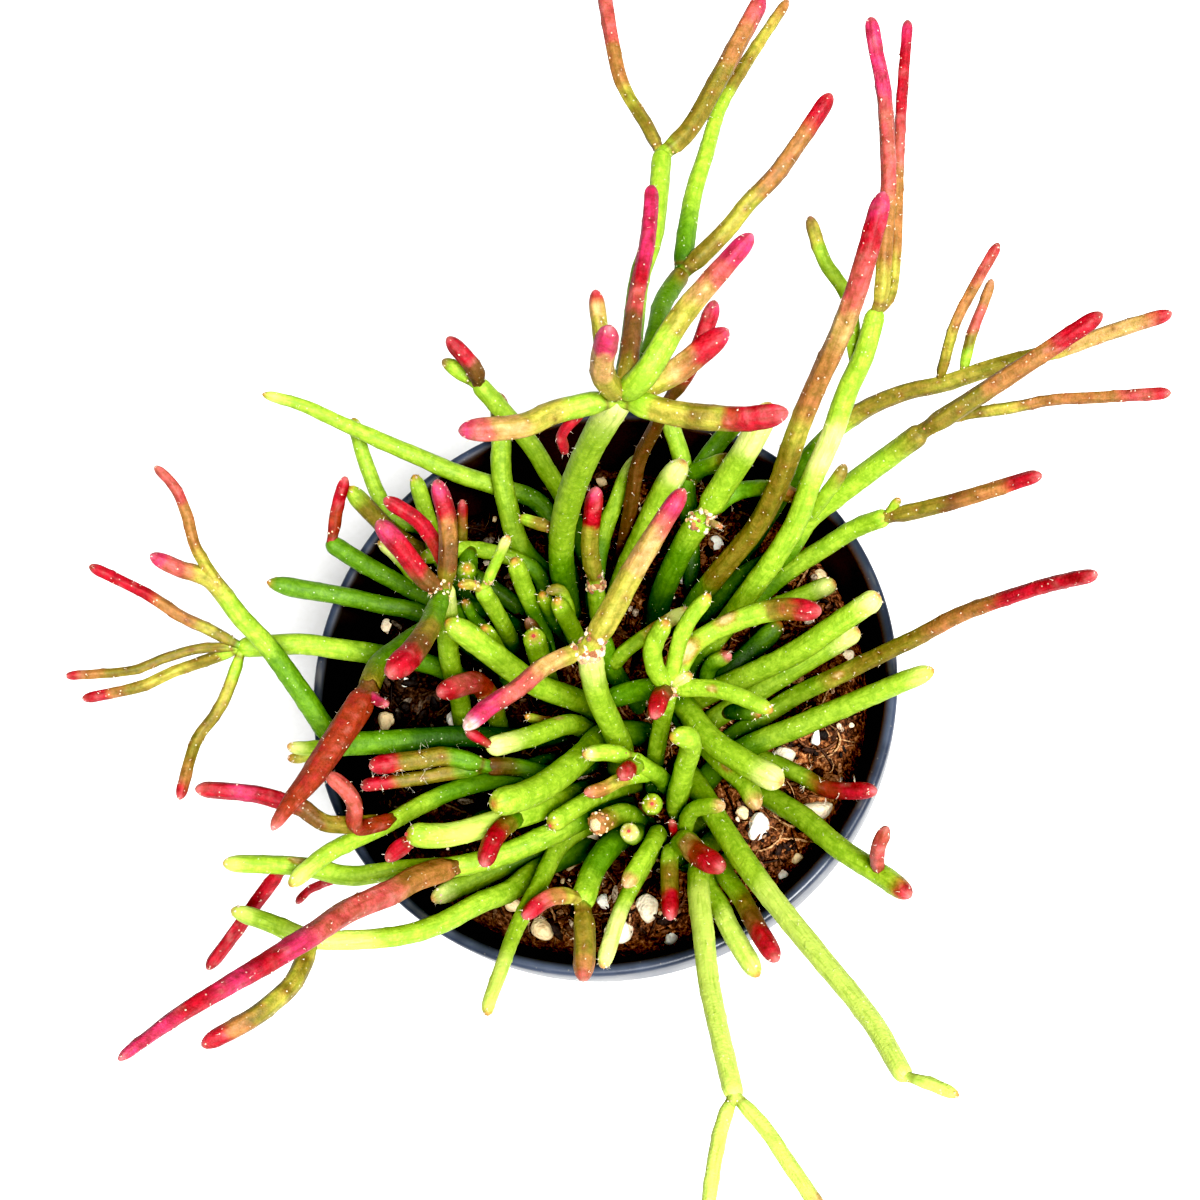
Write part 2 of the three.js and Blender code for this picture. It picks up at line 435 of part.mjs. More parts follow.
    stem("upper", "soil", [3.2, 3.1], [21, -29.5, 75], [19.5, -33.5, 85], [23.5, -40, 92], [26.5, -46, 97],
      [29.5, -51.5, 101]),
    stem("lower", partWay("upper", 0.12), [3.4, 3.2], [17.5, -35, 84], [20, -40, 88], [22, -44.5, 91],
      [26.5, -52.5, 94]),
  ],
  front_forked: [
    stem("stem", "soil", [4.1, 2.8], [18.5, -26, 75], [16, -31, 86], [16.5, -37.5, 94], [18.5, -47, 102],
      [20, -55.5, 108], [22, -63.5, 114], [24.5, -73, 120]),
    stem("left_end", "stem", [2.2, 2.1], [23, -77, 122], [22, -82, 124], [21, -89, 126]),
    stem("right_end", "stem", [2.2, 2.1], [29, -78, 122], [32, -82.5, 124], [36.5, -89, 126]),
  ],
  front_right_long: [
    stem("stem", "soil", [4.5, 2.8], [14.5, -15.5, 75], [16.5, -20.5, 83], [21, -29, 92], [26, -37.5, 100],
      [32.5, -47, 108], [38.5, -55.5, 115], [44, -63.5, 121], [48, -71.5, 127]),
    stem("thin_end", "stem", [1.9, 1.8], [52, -73, 129], [55, -74.5, 130]),
  ],
};

// Most shoots are lime green. The others are older and darker, paler, or flushed by the sun.
const TINTS = {
  back_woody: "olive",
  back_upright: "deepGreen",
  back_left_forked: "deepGreen",
  left_plain: "deepGreen",
  left_pillar: "crimson",
  middle_back: "deepGreen",
  middle_pale: "pale",
  middle_thick: "pale",
  middle_bent: "pale",
  right_hairy: "deepGreen",
  right_long: "olive",
  right_back_long: "olive",
  back_right_red: "olive",
  back_right_green: "deepGreen",
  back_lime: "pale",
  left_raised: "deepGreen",
  left_crimson: "crimson",
  left_low_forked: "deepGreen",
  left_front_pale: "pale",
  front_left_forked: "deepGreen",
  front_forked: "pale",
  front_right_long: "pale",
};

// Perlite grains that stand out of the soil: place and width.
const PERLITE = [
  [-3, -24, 5.5], [-11.5, -41, 5], [7, -38.5, 4.5], [2.5, -42, 4.5],
  [36, -23, 6], [26, -25, 4], [31, -13, 4], [-27, -3, 4],
];

const GRAIN = { shape: [1, 0.85, 0.7], turn: 1.7, lean: 0.3, lift: 0.12 };

// ---- Solids ---------------------------------------------------------------------------------------------

function toSolid(geometry) {
  geometry.deleteAttribute("normal");
  geometry.deleteAttribute("uv");
  const merged = mergeVertices(geometry, WELD);
  return new wasm.Manifold(
    new wasm.Mesh({
      numProp: 3,
      vertProperties: new Float32Array(merged.attributes.position.array),
      triVerts: new Uint32Array(merged.index.array),
    }),
  );
}

function toGeometry(solid) {
  const { vertProperties, triVerts } = solid.getMesh();
  const geometry = new THREE.BufferGeometry();
  geometry.setAttribute("position", new THREE.BufferAttribute(vertProperties, 3));
  geometry.setIndex(new THREE.BufferAttribute(triVerts, 1));
  geometry.computeVertexNormals();
  return geometry;
}

function largestBody(solid) {
  const bodies = solid.decompose();
  return bodies.reduce((best, body) => (body.volume() > best.volume() ? body : best));
}

// ---- Paths ----------------------------------------------------------------------------------------------

const CURVE_SPLITS = 12; // points on each stretch of a curve before it is measured

function evenlySpaced(points, spacing) {
  const lengths = [0];
  for (let i = 1; i < points.length; i += 1) {
    lengths.push(lengths[i - 1] + points[i].distanceTo(points[i - 1]));
  }
  const total = lengths.at(-1);
  const count = Math.max(2, Math.round(total / spacing));
  const even = [];
  let i = 1;
  for (let k = 0; k <= count; k += 1) {
    const along = (total * k) / count;
    while (i < points.length - 1 && lengths[i] < along) i += 1;
    const share = (along - lengths[i - 1]) / (lengths[i] - lengths[i - 1]);
    even.push(points[i - 1].clone().lerp(points[i], share));
  }
  return even;
}

// Turns the list of a shoot's stems into paths. A child starts on its parent's path.
function tracePaths(shootName, stems) {
  const grown = new Map();
  for (const { name, on, share, wide, route } of stems) {
    const parent = on === null ? null : grown.get(on);
    let forkAt = 0;
    let first;
    if (parent) {
      forkAt = Math.round(parent.surfaceAt + share * (parent.path.length - 1 - parent.surfaceAt));
      first = parent.path[forkAt].clone();
    } else {
      first = route[0].clone().add(new THREE.Vector3(0, 0, -STEM.buried));
    }
    const through = [first, ...route];
    const curve = new THREE.CatmullRomCurve3(through, false, "catmullrom");
    const path = evenlySpaced(curve.getPoints(CURVE_SPLITS * (through.length - 1)), STEM.step);
    const surfaceAt = parent ? 0 : path.reduce((best, point, i) => {
      const nearer = Math.abs(point.z - SOIL.level) < Math.abs(path[best].z - SOIL.level);
      return nearer ? i : best;
    }, 0);
    const last = path.length - 1;
    const radii = path.map((_, i) => 0.5 * THREE.MathUtils.lerp(wide[0], wide[1], i / last));
    if (parent && share === 1) parent.carriesTip = true;
    grown.set(name, { shootName, name, parent, forkAt, surfaceAt, path, radii, carriesTip: false });
  }
  return [...grown.values()];
}

// ---- Pressing the stems apart ---------------------------------------------------------------------------

function findNeighbours(points) {
  const cells = new Map();
  const keyOf = (x, y, z) => `${x},${y},${z}`;
  const cellOf = (value) => Math.floor(value / CLEARANCE.reach);
  points.forEach(({ place }, i) => {
    const key = keyOf(cellOf(place.x), cellOf(place.y), cellOf(place.z));
    if (!cells.has(key)) cells.set(key, []);
    cells.get(key).push(i);
  });
  const touchesJoint = (a, b) => [a, b].some(({ line }) => line.parent
    && [a, b].some(({ place }) => place.distanceTo(line.points[0].place) < CLEARANCE.jointFree));
  const pairs = [];
  points.forEach((a, i) => {
    for (let x = -1; x <= 1; x += 1) {
      for (let y = -1; y <= 1; y += 1) {
        for (let z = -1; z <= 1; z += 1) {
          const key = keyOf(cellOf(a.place.x) + x, cellOf(a.place.y) + y, cellOf(a.place.z) + z);
          for (const j of cells.get(key) ?? []) {
            const b = points[j];
            if (j <= i || a.line === b.line) continue;
            if (a.place.distanceTo(b.place) >= CLEARANCE.reach) continue;
            if (a.line.shootName === b.line.shootName && touchesJoint(a, b)) continue;
            pairs.push([a, b]);
          }
        }
      }
    }
  });
  return pairs;
}

// Each stem yields sideways, smoothly along its length, until it clears the others. A fork moves with its
// parent.
function bendClear(lines) {
  for (const line of lines) {
    line.points = line.path.map((home, i) => ({
      line, home, place: home.clone(), radius: line.radii[i], push: new THREE.Vector3(), pushes: 0,
    }));
  }
  const points = lines.flatMap((line) => line.points);
  let neighbours = [];
  const away = new THREE.Vector3();
  for (let round = 0; round < CLEARANCE.rounds; round += 1) {
    if (round % CLEARANCE.lookAgain === 0) neighbours = findNeighbours(points);
    for (const point of points) {
      point.push.set(0, 0, 0);
      point.pushes = 0;
    }
    for (const [a, b] of neighbours) {
      away.subVectors(a.place, b.place);
      const apart = away.length();
      const short = a.radius + b.radius + CLEARANCE.gap - apart;
      if (short <= 0) continue;
      away.multiplyScalar((0.5 * short) / Math.max(apart, TOUCHING));
      a.push.add(away);
      b.push.sub(away);
      a.pushes += 1;
      b.pushes += 1;
    }
    for (const point of points) {
      point.shift = point.place.clone().sub(point.home);
      point.shift.addScaledVector(point.push, CLEARANCE.haste / Math.max(point.pushes, 1));
    }
    lines.forEach(smoothShifts);
    lines.forEach(smoothShifts);
    for (const line of lines) {
      line.points.forEach((point, i) => {
        if (!line.parent && i <= line.surfaceAt) point.shift.z = 0;
        point.place.addVectors(point.home, point.shift);
      });
    }
  }
  for (const line of lines) {
    line.path = line.points.map(({ place }) => place);
    line.kept = keepBends(line.path);
  }
}

// How much of its neighbours' shift a point takes on.
const EASE = { within: 0.5, atTip: 0.4, atFoot: 0.5 };

function smoothShifts({ points, parent, forkAt }) {
  if (parent) points[0].shift.copy(parent.points[forkAt].shift);
  const before = points.map(({ shift }) => shift.clone());
  const last = points.length - 1;
  for (let i = 1; i < last; i += 1) {
    const beside = before[i - 1].clone().lerp(before[i + 1], 0.5);
    points[i].shift.copy(before[i]).lerp(beside, EASE.within);
  }
  points[last].shift.copy(before[last]).lerp(before[last - 1], EASE.atTip);
  if (!parent) points[0].shift.copy(before[0]).lerp(before[1], EASE.atFoot);
}

// ---- Stems ----------------------------------------------------------------------------------------------

// Keeps the points of a path that its bends need. The others lie within `slack` of the lines between them.
function keepBends(path, from = 0, to = path.length - 1) {
  const chord = new THREE.Line3(path[from], path[to]);
  const nearest = new THREE.Vector3();
  let widest = STEM.slack;
  let split = -1;
  for (let i = from + 1; i < to; i += 1) {
    const off = chord.closestPointToPoint(path[i], true, nearest).distanceTo(path[i]);
    if (off > widest) {
      widest = off;
      split = i;
    }
  }
  if (split === -1) return [from, to];
  return [...keepBends(path, from, split), ...keepBends(path, split, to).slice(1)];
}

// The rings of one end of a stem, from its apex inwards.
function endRings(centre, outward, radius, reach, profile) {
  const apex = centre.clone().addScaledVector(outward, reach);
  return profile.map(([depth, width]) => ({
    centre: apex.clone().addScaledVector(outward, -depth * radius),
    radius: width * radius,
  }));
}

// A stem is a turned profile, bent along its path.
function stemSolid({ path, radii, parent, carriesTip, kept }, grow = 0, tipProfile = ROUND_END) {
  const centres = kept.map((i) => path[i]);
  const widths = kept.map((i) => radii[i] + grow);
  const last = centres.length - 1;
  const footOut = centres[0].clone().sub(centres[1]).normalize();
  const tipOut = centres[last].clone().sub(centres[last - 1]).normalize();
  const foot = parent
    ? endRings(centres[0], footOut, widths[0], STEM.footReach * radii[0] + grow, JOINT_END)
    : endRings(centres[0], footOut, widths[0], grow, CUT_END);
  const tip = endRings(
    centres[last],
    tipOut,
    widths[last],
    carriesTip ? STEM.forkReach * widths[last] : grow,
    carriesTip ? JOINT_END : tipProfile,
  );
  const clearOf = (centre, end) => centre.distanceTo(end[0].centre)
    > end.at(-1).centre.distanceTo(end[0].centre) + STEM.leastStretch;
  const between = centres.map((centre, i) => ({ centre, radius: widths[i] })).slice(1, last);
  const rings = [
    ...foot,
    ...between.filter(({ centre }) => clearOf(centre, foot) && clearOf(centre, tip)),
    ...tip.reverse(),
  ];

  const across = new THREE.Vector3(1, 0, 0);
  const heading = new THREE.Vector3();
  rings.forEach((ring, i) => {
    const ahead = rings[Math.min(i + 1, rings.length - 1)].centre;
    const behind = rings[Math.max(i - 1, 0)].centre;
    if (ahead.distanceTo(behind) > TOUCHING) heading.subVectors(ahead, behind).normalize();
    across.addScaledVector(heading, -across.dot(heading)).normalize();
    ring.across = across.clone();
    ring.aside = across.clone().cross(heading);
  });

  const profile = rings.map(({ radius }, i) => new THREE.Vector2(radius, i));
  const sides = 2 * Math.max(...radii) < STEM.thinBelow ? STEM.thinSides : STEM.sides;
  const turned = new THREE.LatheGeometry(profile, sides);
  const position = turned.attributes.position;
  const place = new THREE.Vector3();
  for (let v = 0; v < position.count; v += 1) {
    const ring = rings[Math.round(position.getY(v))];
    place.copy(ring.centre);
    place.addScaledVector(ring.across, position.getX(v)).addScaledVector(ring.aside, position.getZ(v));
    position.setXYZ(v, place.x, place.y, place.z);
  }
  return toSolid(turned);
}

function shootSolid(lines) {
  return lines.map((line) => stemSolid(line)).reduce((whole, part) => whole.add(part));
}

// ---- Pot and soil ---------------------------------------------------------------------------------------

const rimRadius = POT.rimDiameter / 2;
const baseRadius = POT.baseDiameter / 2;
const wallTop = rimRadius - POT.lipOverhang; // outside of the wall, carried up to the rim
const wallRadiusAt = (height) => THREE.MathUtils.lerp(baseRadius, wallTop, height / POT.height);

function potSolid() {
  const lipFoot = POT.height - POT.lipDepth;
  const innerTop = wallTop - POT.wall;
  const profile = [
    [0, 0],
    [baseRadius - POT.baseRound, 0],
    [baseRadius, POT.baseRound],
    [wallRadiusAt(lipFoot), lipFoot],
    [rimRadius - POT.lipTaper, lipFoot + POT.lipTaper],
    [rimRadius, POT.height - POT.lipRound],
    [rimRadius - POT.lipRound, POT.height],
    [innerTop, POT.height],
    [innerTop - POT.lipTaper, POT.height - POT.lipRound],
    [wallRadiusAt(POT.floor) - POT.wall, POT.floor],
    [0, POT.floor],
  ].map(([radius, height]) => new THREE.Vector2(radius, height));
  let pot = toSolid(new THREE.LatheGeometry(profile, POT.sides).rotateX(Math.PI / 2));
  for (let i = 0; i < DRAIN.holes; i += 1) {
    const angle = (2 * Math.PI * (i + 0.5)) / DRAIN.holes;
    const radius = DRAIN.diameter / 2;
    const hole = new THREE.CylinderGeometry(radius, radius, 3 * POT.floor, DRAIN.sides);
    hole.rotateX(Math.PI / 2);
    hole.translate(DRAIN.ringRadius * Math.cos(angle), DRAIN.ringRadius * Math.sin(angle), 0);
    pot = pot.subtract(toSolid(hole));
  }
  return pot;
}

const soilRadiusAt = (height) => wallRadiusAt(height) - POT.wall - SOIL.wallGap;

// Two crossing sets of soft waves make the hummocks. They die out at the moat.
function soilHeight(x, y) {
  const broad = Math.sin(x / 3.2 + 0.9) * Math.cos(y / 3.7 - 0.4);
  const slanting = 0.6 * Math.sin(y / 1.6 + x / 4.8);
  const inset = soilRadiusAt(SOIL.level) - Math.hypot(x, y);
  const moat = 1 - THREE.MathUtils.smoothstep(inset, 0, SOIL.moatWidth);
  return SOIL.level + SOIL.swell * (broad + slanting) * (1 - moat) - SOIL.moatDepth * moat;
}

// A chunky grain, a little flattened, a third of it below the surface. Each lies turned another way.
function perliteGrain([x, y, width], i) {
  const grain = new THREE.IcosahedronGeometry(width / 2, 0);
  grain.scale(...GRAIN.shape).rotateZ(i * GRAIN.turn).rotateX(GRAIN.lean);
  return toSolid(grain.translate(x, y, soilHeight(x, y) + GRAIN.lift * width));
}

// The soil is turned like the pot's inside, then its top rings are lifted to the surface's relief.
function soilSolid(lines) {
  const foot = POT.floor + SOIL.floorGap;
  const brim = SOIL.level - SOIL.moatDepth;
  const topRadius = soilRadiusAt(brim);
  const profile = [new THREE.Vector2(0, foot), new THREE.Vector2(soilRadiusAt(foot), foot)];
  for (let i = 0; i <= SOIL.rings; i += 1) {
    const share = 1 - (i / SOIL.rings) ** SOIL.ringBias;
    profile.push(new THREE.Vector2(i === SOIL.rings ? 0 : topRadius * share, brim));
  }
  const body = new THREE.LatheGeometry(profile, SOIL.sides).rotateX(Math.PI / 2);
  const position = body.attributes.position;
  for (let v = 0; v < position.count; v += 1) {
    const x = position.getX(v);
    const y = position.getY(v);
    if (position.getZ(v) > foot + 1) position.setZ(v, soilHeight(x, y));
  }
  let soil = toSolid(body);
  PERLITE.forEach((grain, i) => {
    soil = soil.add(perliteGrain(grain, i));
  });
  for (const line of lines) {
    const hole = holeFor(line);
    if (hole) soil = soil.subtract(hole);
  }
  return largestBody(soil);
}

// The part of a stem that is in or near the soil, a little wider, is cut out of it.
function holeFor(line) {
  const near = ({ z }, i) => z - line.radii[i] < SOIL.level + SOIL.hummock;
  const firstClear = line.kept.findIndex((i) => line.path[i].z > SOIL.level + SOIL.hummock + line.radii[i]);
  const kept = firstClear === -1 ? line.kept : line.kept.slice(0, Math.max(firstClear, 1) + 1);
  const meetsSoil = line.path.slice(0, kept.at(-1) + 1).some(near);
  return meetsSoil ? stemSolid({ ...line, kept, carriesTip: false }, STEM.holeGap, CUT_END) : null;
}

// ---- Assembly -------------------------------------------------------------------------------------------

function addPiece(name, solid, colour, roughness) {
  const material = new THREE.MeshStandardMaterial({ color: colour, roughness, metalness: 0 });
  const mesh = new THREE.Mesh(toGeometry(solid), material);
  mesh.name = name;
  plant.add(mesh);
}

const plant = new THREE.Group();
const shoots = Object.entries(SHOOTS).map(([name, stems]) => ({ name, lines: tracePaths(name, stems) }));
const allLines = shoots.flatMap(({ lines }) => lines);
bendClear(allLines);

addPiece("pot", potSolid(), COLOURS.pot, 0.45);
addPiece("soil", soilSolid(allLines), COLOURS.soil, 0.95);
for (const { name, lines } of shoots) {
  addPiece(name, shootSolid(lines), COLOURS[TINTS[name] ?? "lime"], 0.5);
}

export default plant;
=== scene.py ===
"""Mistletoe cactus in its nursery pot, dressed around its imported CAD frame.

The plant is a clump of leafless, pencil-thin joints that root in the potting mix, lean out over the rim and
branch at their joints. Each sub-assembly is a class: the pot, the potting mix, the clump of shoots, and the
studio that they stand in. Sizes are in millimetres and become metres when a mesh is made. +Z is up, +X is
the right-hand side, +Y is the back, and the origin is the centre of the pot's base.
"""

import functools
import itertools
import json
import logging
import math
from collections.abc import Callable
from dataclasses import dataclass, field
from enum import Enum

import bmesh
import bpy
import numpy as np
from mathutils import Matrix, Vector

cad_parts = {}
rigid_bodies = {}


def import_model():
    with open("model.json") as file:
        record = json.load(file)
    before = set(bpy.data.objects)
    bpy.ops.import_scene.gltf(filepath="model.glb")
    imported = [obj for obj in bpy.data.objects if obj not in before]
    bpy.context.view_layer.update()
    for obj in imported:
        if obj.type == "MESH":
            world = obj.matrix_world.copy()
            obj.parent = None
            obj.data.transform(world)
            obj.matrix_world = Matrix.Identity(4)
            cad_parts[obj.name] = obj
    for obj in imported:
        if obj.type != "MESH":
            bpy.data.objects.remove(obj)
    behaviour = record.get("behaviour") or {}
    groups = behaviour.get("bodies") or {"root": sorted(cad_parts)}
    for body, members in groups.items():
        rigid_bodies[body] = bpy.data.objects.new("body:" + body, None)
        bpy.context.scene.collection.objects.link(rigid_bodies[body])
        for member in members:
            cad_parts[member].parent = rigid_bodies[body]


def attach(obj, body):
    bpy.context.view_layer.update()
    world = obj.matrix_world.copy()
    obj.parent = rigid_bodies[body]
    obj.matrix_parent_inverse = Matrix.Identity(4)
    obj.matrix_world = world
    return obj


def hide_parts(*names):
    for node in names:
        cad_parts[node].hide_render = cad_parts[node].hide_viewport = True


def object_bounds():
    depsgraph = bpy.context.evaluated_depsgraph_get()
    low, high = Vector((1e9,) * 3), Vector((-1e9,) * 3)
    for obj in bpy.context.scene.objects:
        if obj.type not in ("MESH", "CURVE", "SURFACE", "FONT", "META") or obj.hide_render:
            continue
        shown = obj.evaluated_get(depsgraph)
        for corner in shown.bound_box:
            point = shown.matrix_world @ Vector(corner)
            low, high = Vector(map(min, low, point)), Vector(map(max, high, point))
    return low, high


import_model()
CAD_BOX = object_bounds()

MM = 0.001  # metres in a millimetre, the unit of every size below
SEED = 20  # of every random draw
BODY = "root"
MIX_LEVEL = 75.0  # height of the potting mix
GOLDEN_ANGLE = math.pi * (3 - math.sqrt(5))
LOG = logging.getLogger("mistletoe_cactus")

Array = np.ndarray
Pair = tuple[float, float]
Place = tuple[float, float, float]
Hex = str
Stops = tuple[tuple[float, Hex], ...]  # of a colour ramp
Random = np.random.Generator
Piece = bpy.types.Object
Socket = bpy.types.NodeSocket
AddNode = Callable[..., Socket]

BLEND = {"data_type": "RGBA"}  # settings of a node that mixes two colours
MULTIPLY = {**BLEND, "blend_type": "MULTIPLY"}


# ---- Colours and node trees ----


def linear(colour: Hex) -> tuple[float, float, float, float]:
    """Turns an sRGB colour into the linear one that shaders use.

    Args:
        colour: The colour as "#rrggbb".

    Returns:
        Linear red, green, blue and an alpha of one.
    """
    srgb = np.array([int(colour[i : i + 2], 16) for i in (1, 3, 5)]) / 255
    red, green, blue = np.where(srgb <= 0.04045, srgb / 12.92, ((srgb + 0.055) / 1.055) ** 2.4)
    return float(red), float(green), float(blue), 1.0


def palette(colours: tuple[Hex, ...]) -> Array:
    """Linear red, green and blue of each colour, one a row."""
    return np.array([linear(colour)[:3] for colour in colours])


def per_mm(size: float) -> float:
    """Scale of a texture whose cells are `size` millimetres, for coordinates in metres."""
    return 1 / (size * MM)


def add_node(
    tree: bpy.types.NodeTree, kind: str, *values: object, inputs: dict[str, object] | None = None,
    output: str = "", stops: Stops = (), **settings: object,
) -> Socket:
    """Adds a node with its settings, values and links.

    Args:
        tree: The node tree.
        kind: The node's type without its prefix, such as "TexNoise".
        *values: Value, or another node's output, for the first inputs in use, in their order.
        inputs: The same for inputs by their names.
        output: Name of the output that is wanted, where it isn't the first in use.
        stops: Position and colour of each stop, for a colour ramp.
        **settings: The node's own properties.

    Returns:
        The output.
    """
    node = tree.nodes.new(f"ShaderNode{kind}")
    for name, value in settings.items():
        setattr(node, name, value)
    in_use = [socket for socket in node.inputs if socket.enabled]
    named = {socket.name: socket for socket in in_use}
    for socket, value in [*zip(in_use, values), *((named[name], inputs[name]) for name in inputs or ())]:
        if isinstance(value, Socket):
            tree.links.new(value, socket)
        else:
            socket.default_value = value
    for i, (position, colour) in enumerate(stops):
        ramp = node.color_ramp.elements
        stop = ramp[i] if i < 2 else ramp.new(position)
        stop.position, stop.color = position, linear(colour)
    return node.outputs[output] if output else next(socket for socket in node.outputs if socket.enabled)


class Finish:
    """A material of the object, built once and shared by its pieces."""

    label = "finish"

    def make(self) -> bpy.types.Material:
        """Builds the material.

        Returns:
            The material, with its node tree.
        """
        material = bpy.data.materials.new(self.label)
        material.use_nodes = True
        tree = material.node_tree
        tree.nodes.clear()
        add = functools.partial(add_node, tree)
        output = tree.nodes.new("ShaderNodeOutputMaterial")
        tree.links.new(self.shade(add, add("TexCoord", output="Object")), output.inputs["Surface"])
        return material

    def shade(self, add: AddNode, place: Socket) -> Socket:
        """Builds the shader. Each finish has its own.

        Args:
            add: Adds a node to the material.
            place: The shaded place, in metres.

        Returns:
            The shader.
        """
        raise NotImplementedError


@dataclass(frozen=True)
class WaxyCuticle(Finish):
    """Cactus epidermis under thin wax bloom: a soft, broken gloss over mottled, slightly glowing green."""

    label: str = "waxy_cactus_cuticle"
    mottle: float = 1.4  # mm, width of the paler and deeper patches
    streak: float = 0.55  # mm, width of the streaks along a joint
    speck: float = 1.3  # mm, spacing of the pale specks, which are stomata and painted glints, coarser than real so that they show
    cell: float = 0.42  # mm, grain of the surface, coarser than the real cells so that it shows
    deep: Hex = "#b4c892"  # what a deep patch multiplies the colour by
    # Colour of the pale specks: stomata, and painted glints on the waxy skin.
    pore_and_glint: Hex = "#fbfbe0"
    scatter: float = 0.7  # mm, how far light spreads in the flesh

    def shade(self, add: AddNode, place: Socket) -> Socket:
        """Builds the skin from the joint's own tint, patches, streaks and pale specks, which are stomata
        and painted glints.

        Args:
            add: Adds a node to the material.
            place: The shaded place, in metres.

        Returns:
            The shader.
        """
        tint = add("Attribute", attribute_name="tint")
        wrap = add("Attribute", output="Vector", attribute_name="wrap")
        patches = add("TexNoise", place, per_mm(self.mottle), inputs={"Detail": 8.0, "Roughness": 0.72})
        streaks = add("TexNoise", wrap, per_mm(self.streak))
        grain = add("TexNoise", place, per_mm(self.cell), inputs={"Detail": 3.0, "Roughness": 0.65})
        speck_cells = add("TexVoronoi", place, per_mm(self.speck))
        mottled = add("MapRange", patches, 0.35, 0.62)
        even = add("MapRange", tint, 0.35, 0.65, inputs={"To Max": 0.7})
        is_patch = add("Math", mottled, even, operation="MAXIMUM")  # pale skin is the more even
        is_streak = add("MapRange", streaks, 0.5, 0.7, inputs={"To Max": 0.7})
        is_pore_and_glint = add("MapRange", speck_cells, 0.13, 0.07, inputs={"To Max": 0.4})
        deep = add("Mix", 1.0, tint, linear(self.deep), **MULTIPLY)
        patched = add("Mix", is_patch, deep, tint, **BLEND)
        streaked = add("Mix", is_streak, patched, deep, **BLEND)
        # Pale specks: stomata, and painted glints.
        coloured = add("Mix", is_pore_and_glint, streaked, linear(self.pore_and_glint), **BLEND)
        relief = add("Bump", inputs={"Height": grain, "Strength": 1.0, "Distance": 0.17 * MM})
        wrinkled = add("Bump", inputs={"Height": streaks, "Strength": 0.35, "Distance": 0.15 * MM,
                                       "Normal": relief})
        rough = add("MapRange", grain, 0.3, 0.7, inputs={"To Min": 0.48, "To Max": 0.7})
        return add("BsdfPrincipled", inputs={
            "Base Color": coloured, "Roughness": rough, "Normal": wrinkled, "IOR": 1.42,
            "Subsurface Weight": 0.15, "Subsurface Radius": (1.0, 0.8, 0.3),
            "Subsurface Scale": self.scatter * MM, "Coat Weight": 0.03, "Coat Roughness": 0.35,
        })


@dataclass(frozen=True)
class Flecked(Finish):
    """A matt surface of each bit's own tint. Darker flecks between its bumps are also its relief."""

    fleck: float = 0.5  # mm
    detail: float = 2.0
    roughness: float = 0.5  # of the pattern
    span: Pair = (0.6, 0.4)  # of the pattern, from no fleck to the darkest
    strongest: float = 1.0
    dark: Hex = "#808080"
    relief: float = 0.1  # mm
    rough: float = 0.9
    sheen: float = 0.0

    def shade(self, add: AddNode, place: Socket) -> Socket:
        """Builds the surface.

        Args:
            add: Adds a node to the material.
            place: The shaded place, in metres.

        Returns:
            The shader.
        """
        tint = add("Attribute", attribute_name="tint")
        flecks = add("TexNoise", place, per_mm(self.fleck),
                     inputs={"Detail": self.detail, "Roughness": self.roughness})
        is_fleck = add("MapRange", flecks, *self.span, inputs={"To Max": self.strongest})
        coloured = add("Mix", is_fleck, tint, linear(self.dark), **MULTIPLY)
        bumps = add("Bump", inputs={"Height": flecks, "Strength": 0.8, "Distance": self.relief * MM})
        return add("BsdfPrincipled", inputs={
            "Base Color": coloured, "Normal": bumps, "Roughness": self.rough, "IOR": 1.45,
            "Sheen Weight": self.sheen,
        })


@dataclass(frozen=True)
class AreoleFelt(Flecked):
    """Short plant wool and dry corky tissue: matt cream fluff that catches light at its edges."""

    label: str = "areole_felt"
    fleck: float = 0.18  # mm, width of one tuft
    strongest: float = 0.6
    dark: Hex = "#c7b28c"
    rough: float = 0.92
    sheen: float = 0.3


@dataclass(frozen=True)
class CoirLitter(Flecked):
    """Loose coir fibres, husk chips and peat crumbs: dry, matt bits, each of its own brown."""

    label: str = "coir_litter"
    detail: float = 4.0
    roughness: float = 0.7
    span: Pair = (0.58, 0.4)
    dark: Hex = "#6f5a4a"
    relief: float = 0.25
    rough: float = 0.78


@dataclass(frozen=True)
class Mottled(Finish):
    """A plain surface, faintly mottled between two colours."""

    mottle: float = 1.0  # mm
    detail: float = 2.0
    stops: Stops = ()
    rough: float = 0.5
    ior: float = 1.45

    def shade(self, add: AddNode, place: Socket) -> Socket:
        """Builds the surface.

        Args:
            add: Adds a node to the material.
            place: The shaded place, in metres.

        Returns:
            The shader.
        """
        mottles = add("TexNoise", place, per_mm(self.mottle), inputs={"Detail": self.detail})
        coloured = add("ValToRGB", mottles, stops=self.stops)
        return add("BsdfPrincipled", inputs={"Base Color": coloured, "Roughness": self.rough,
                                             "IOR": self.ior})


@dataclass(frozen=True)
class HornyBristle(Mottled):
    """Dead, glassy hair of an areole: thin whitish streaks that glint, with yellower stretches."""

    label: str = "horny_bristle"
    mottle: float = 0.6
    stops: Stops = ((0.35, "#eadcb4"), (0.6, "#fffaf0"))
    rough: float = 0.35
    ior: float = 1.55


@dataclass(frozen=True)
class StudioPaper(Mottled):
    """Seamless white background paper: an even, matt, pale ground."""

    label: str = "studio_paper"
    mottle: float = 1.5
    detail: float = 3.0
    stops: Stops = ((0.3, "#f6f6f4"), (0.7, "#fbfbfa"))
    rough: float = 0.95
    ior: float = 1.4


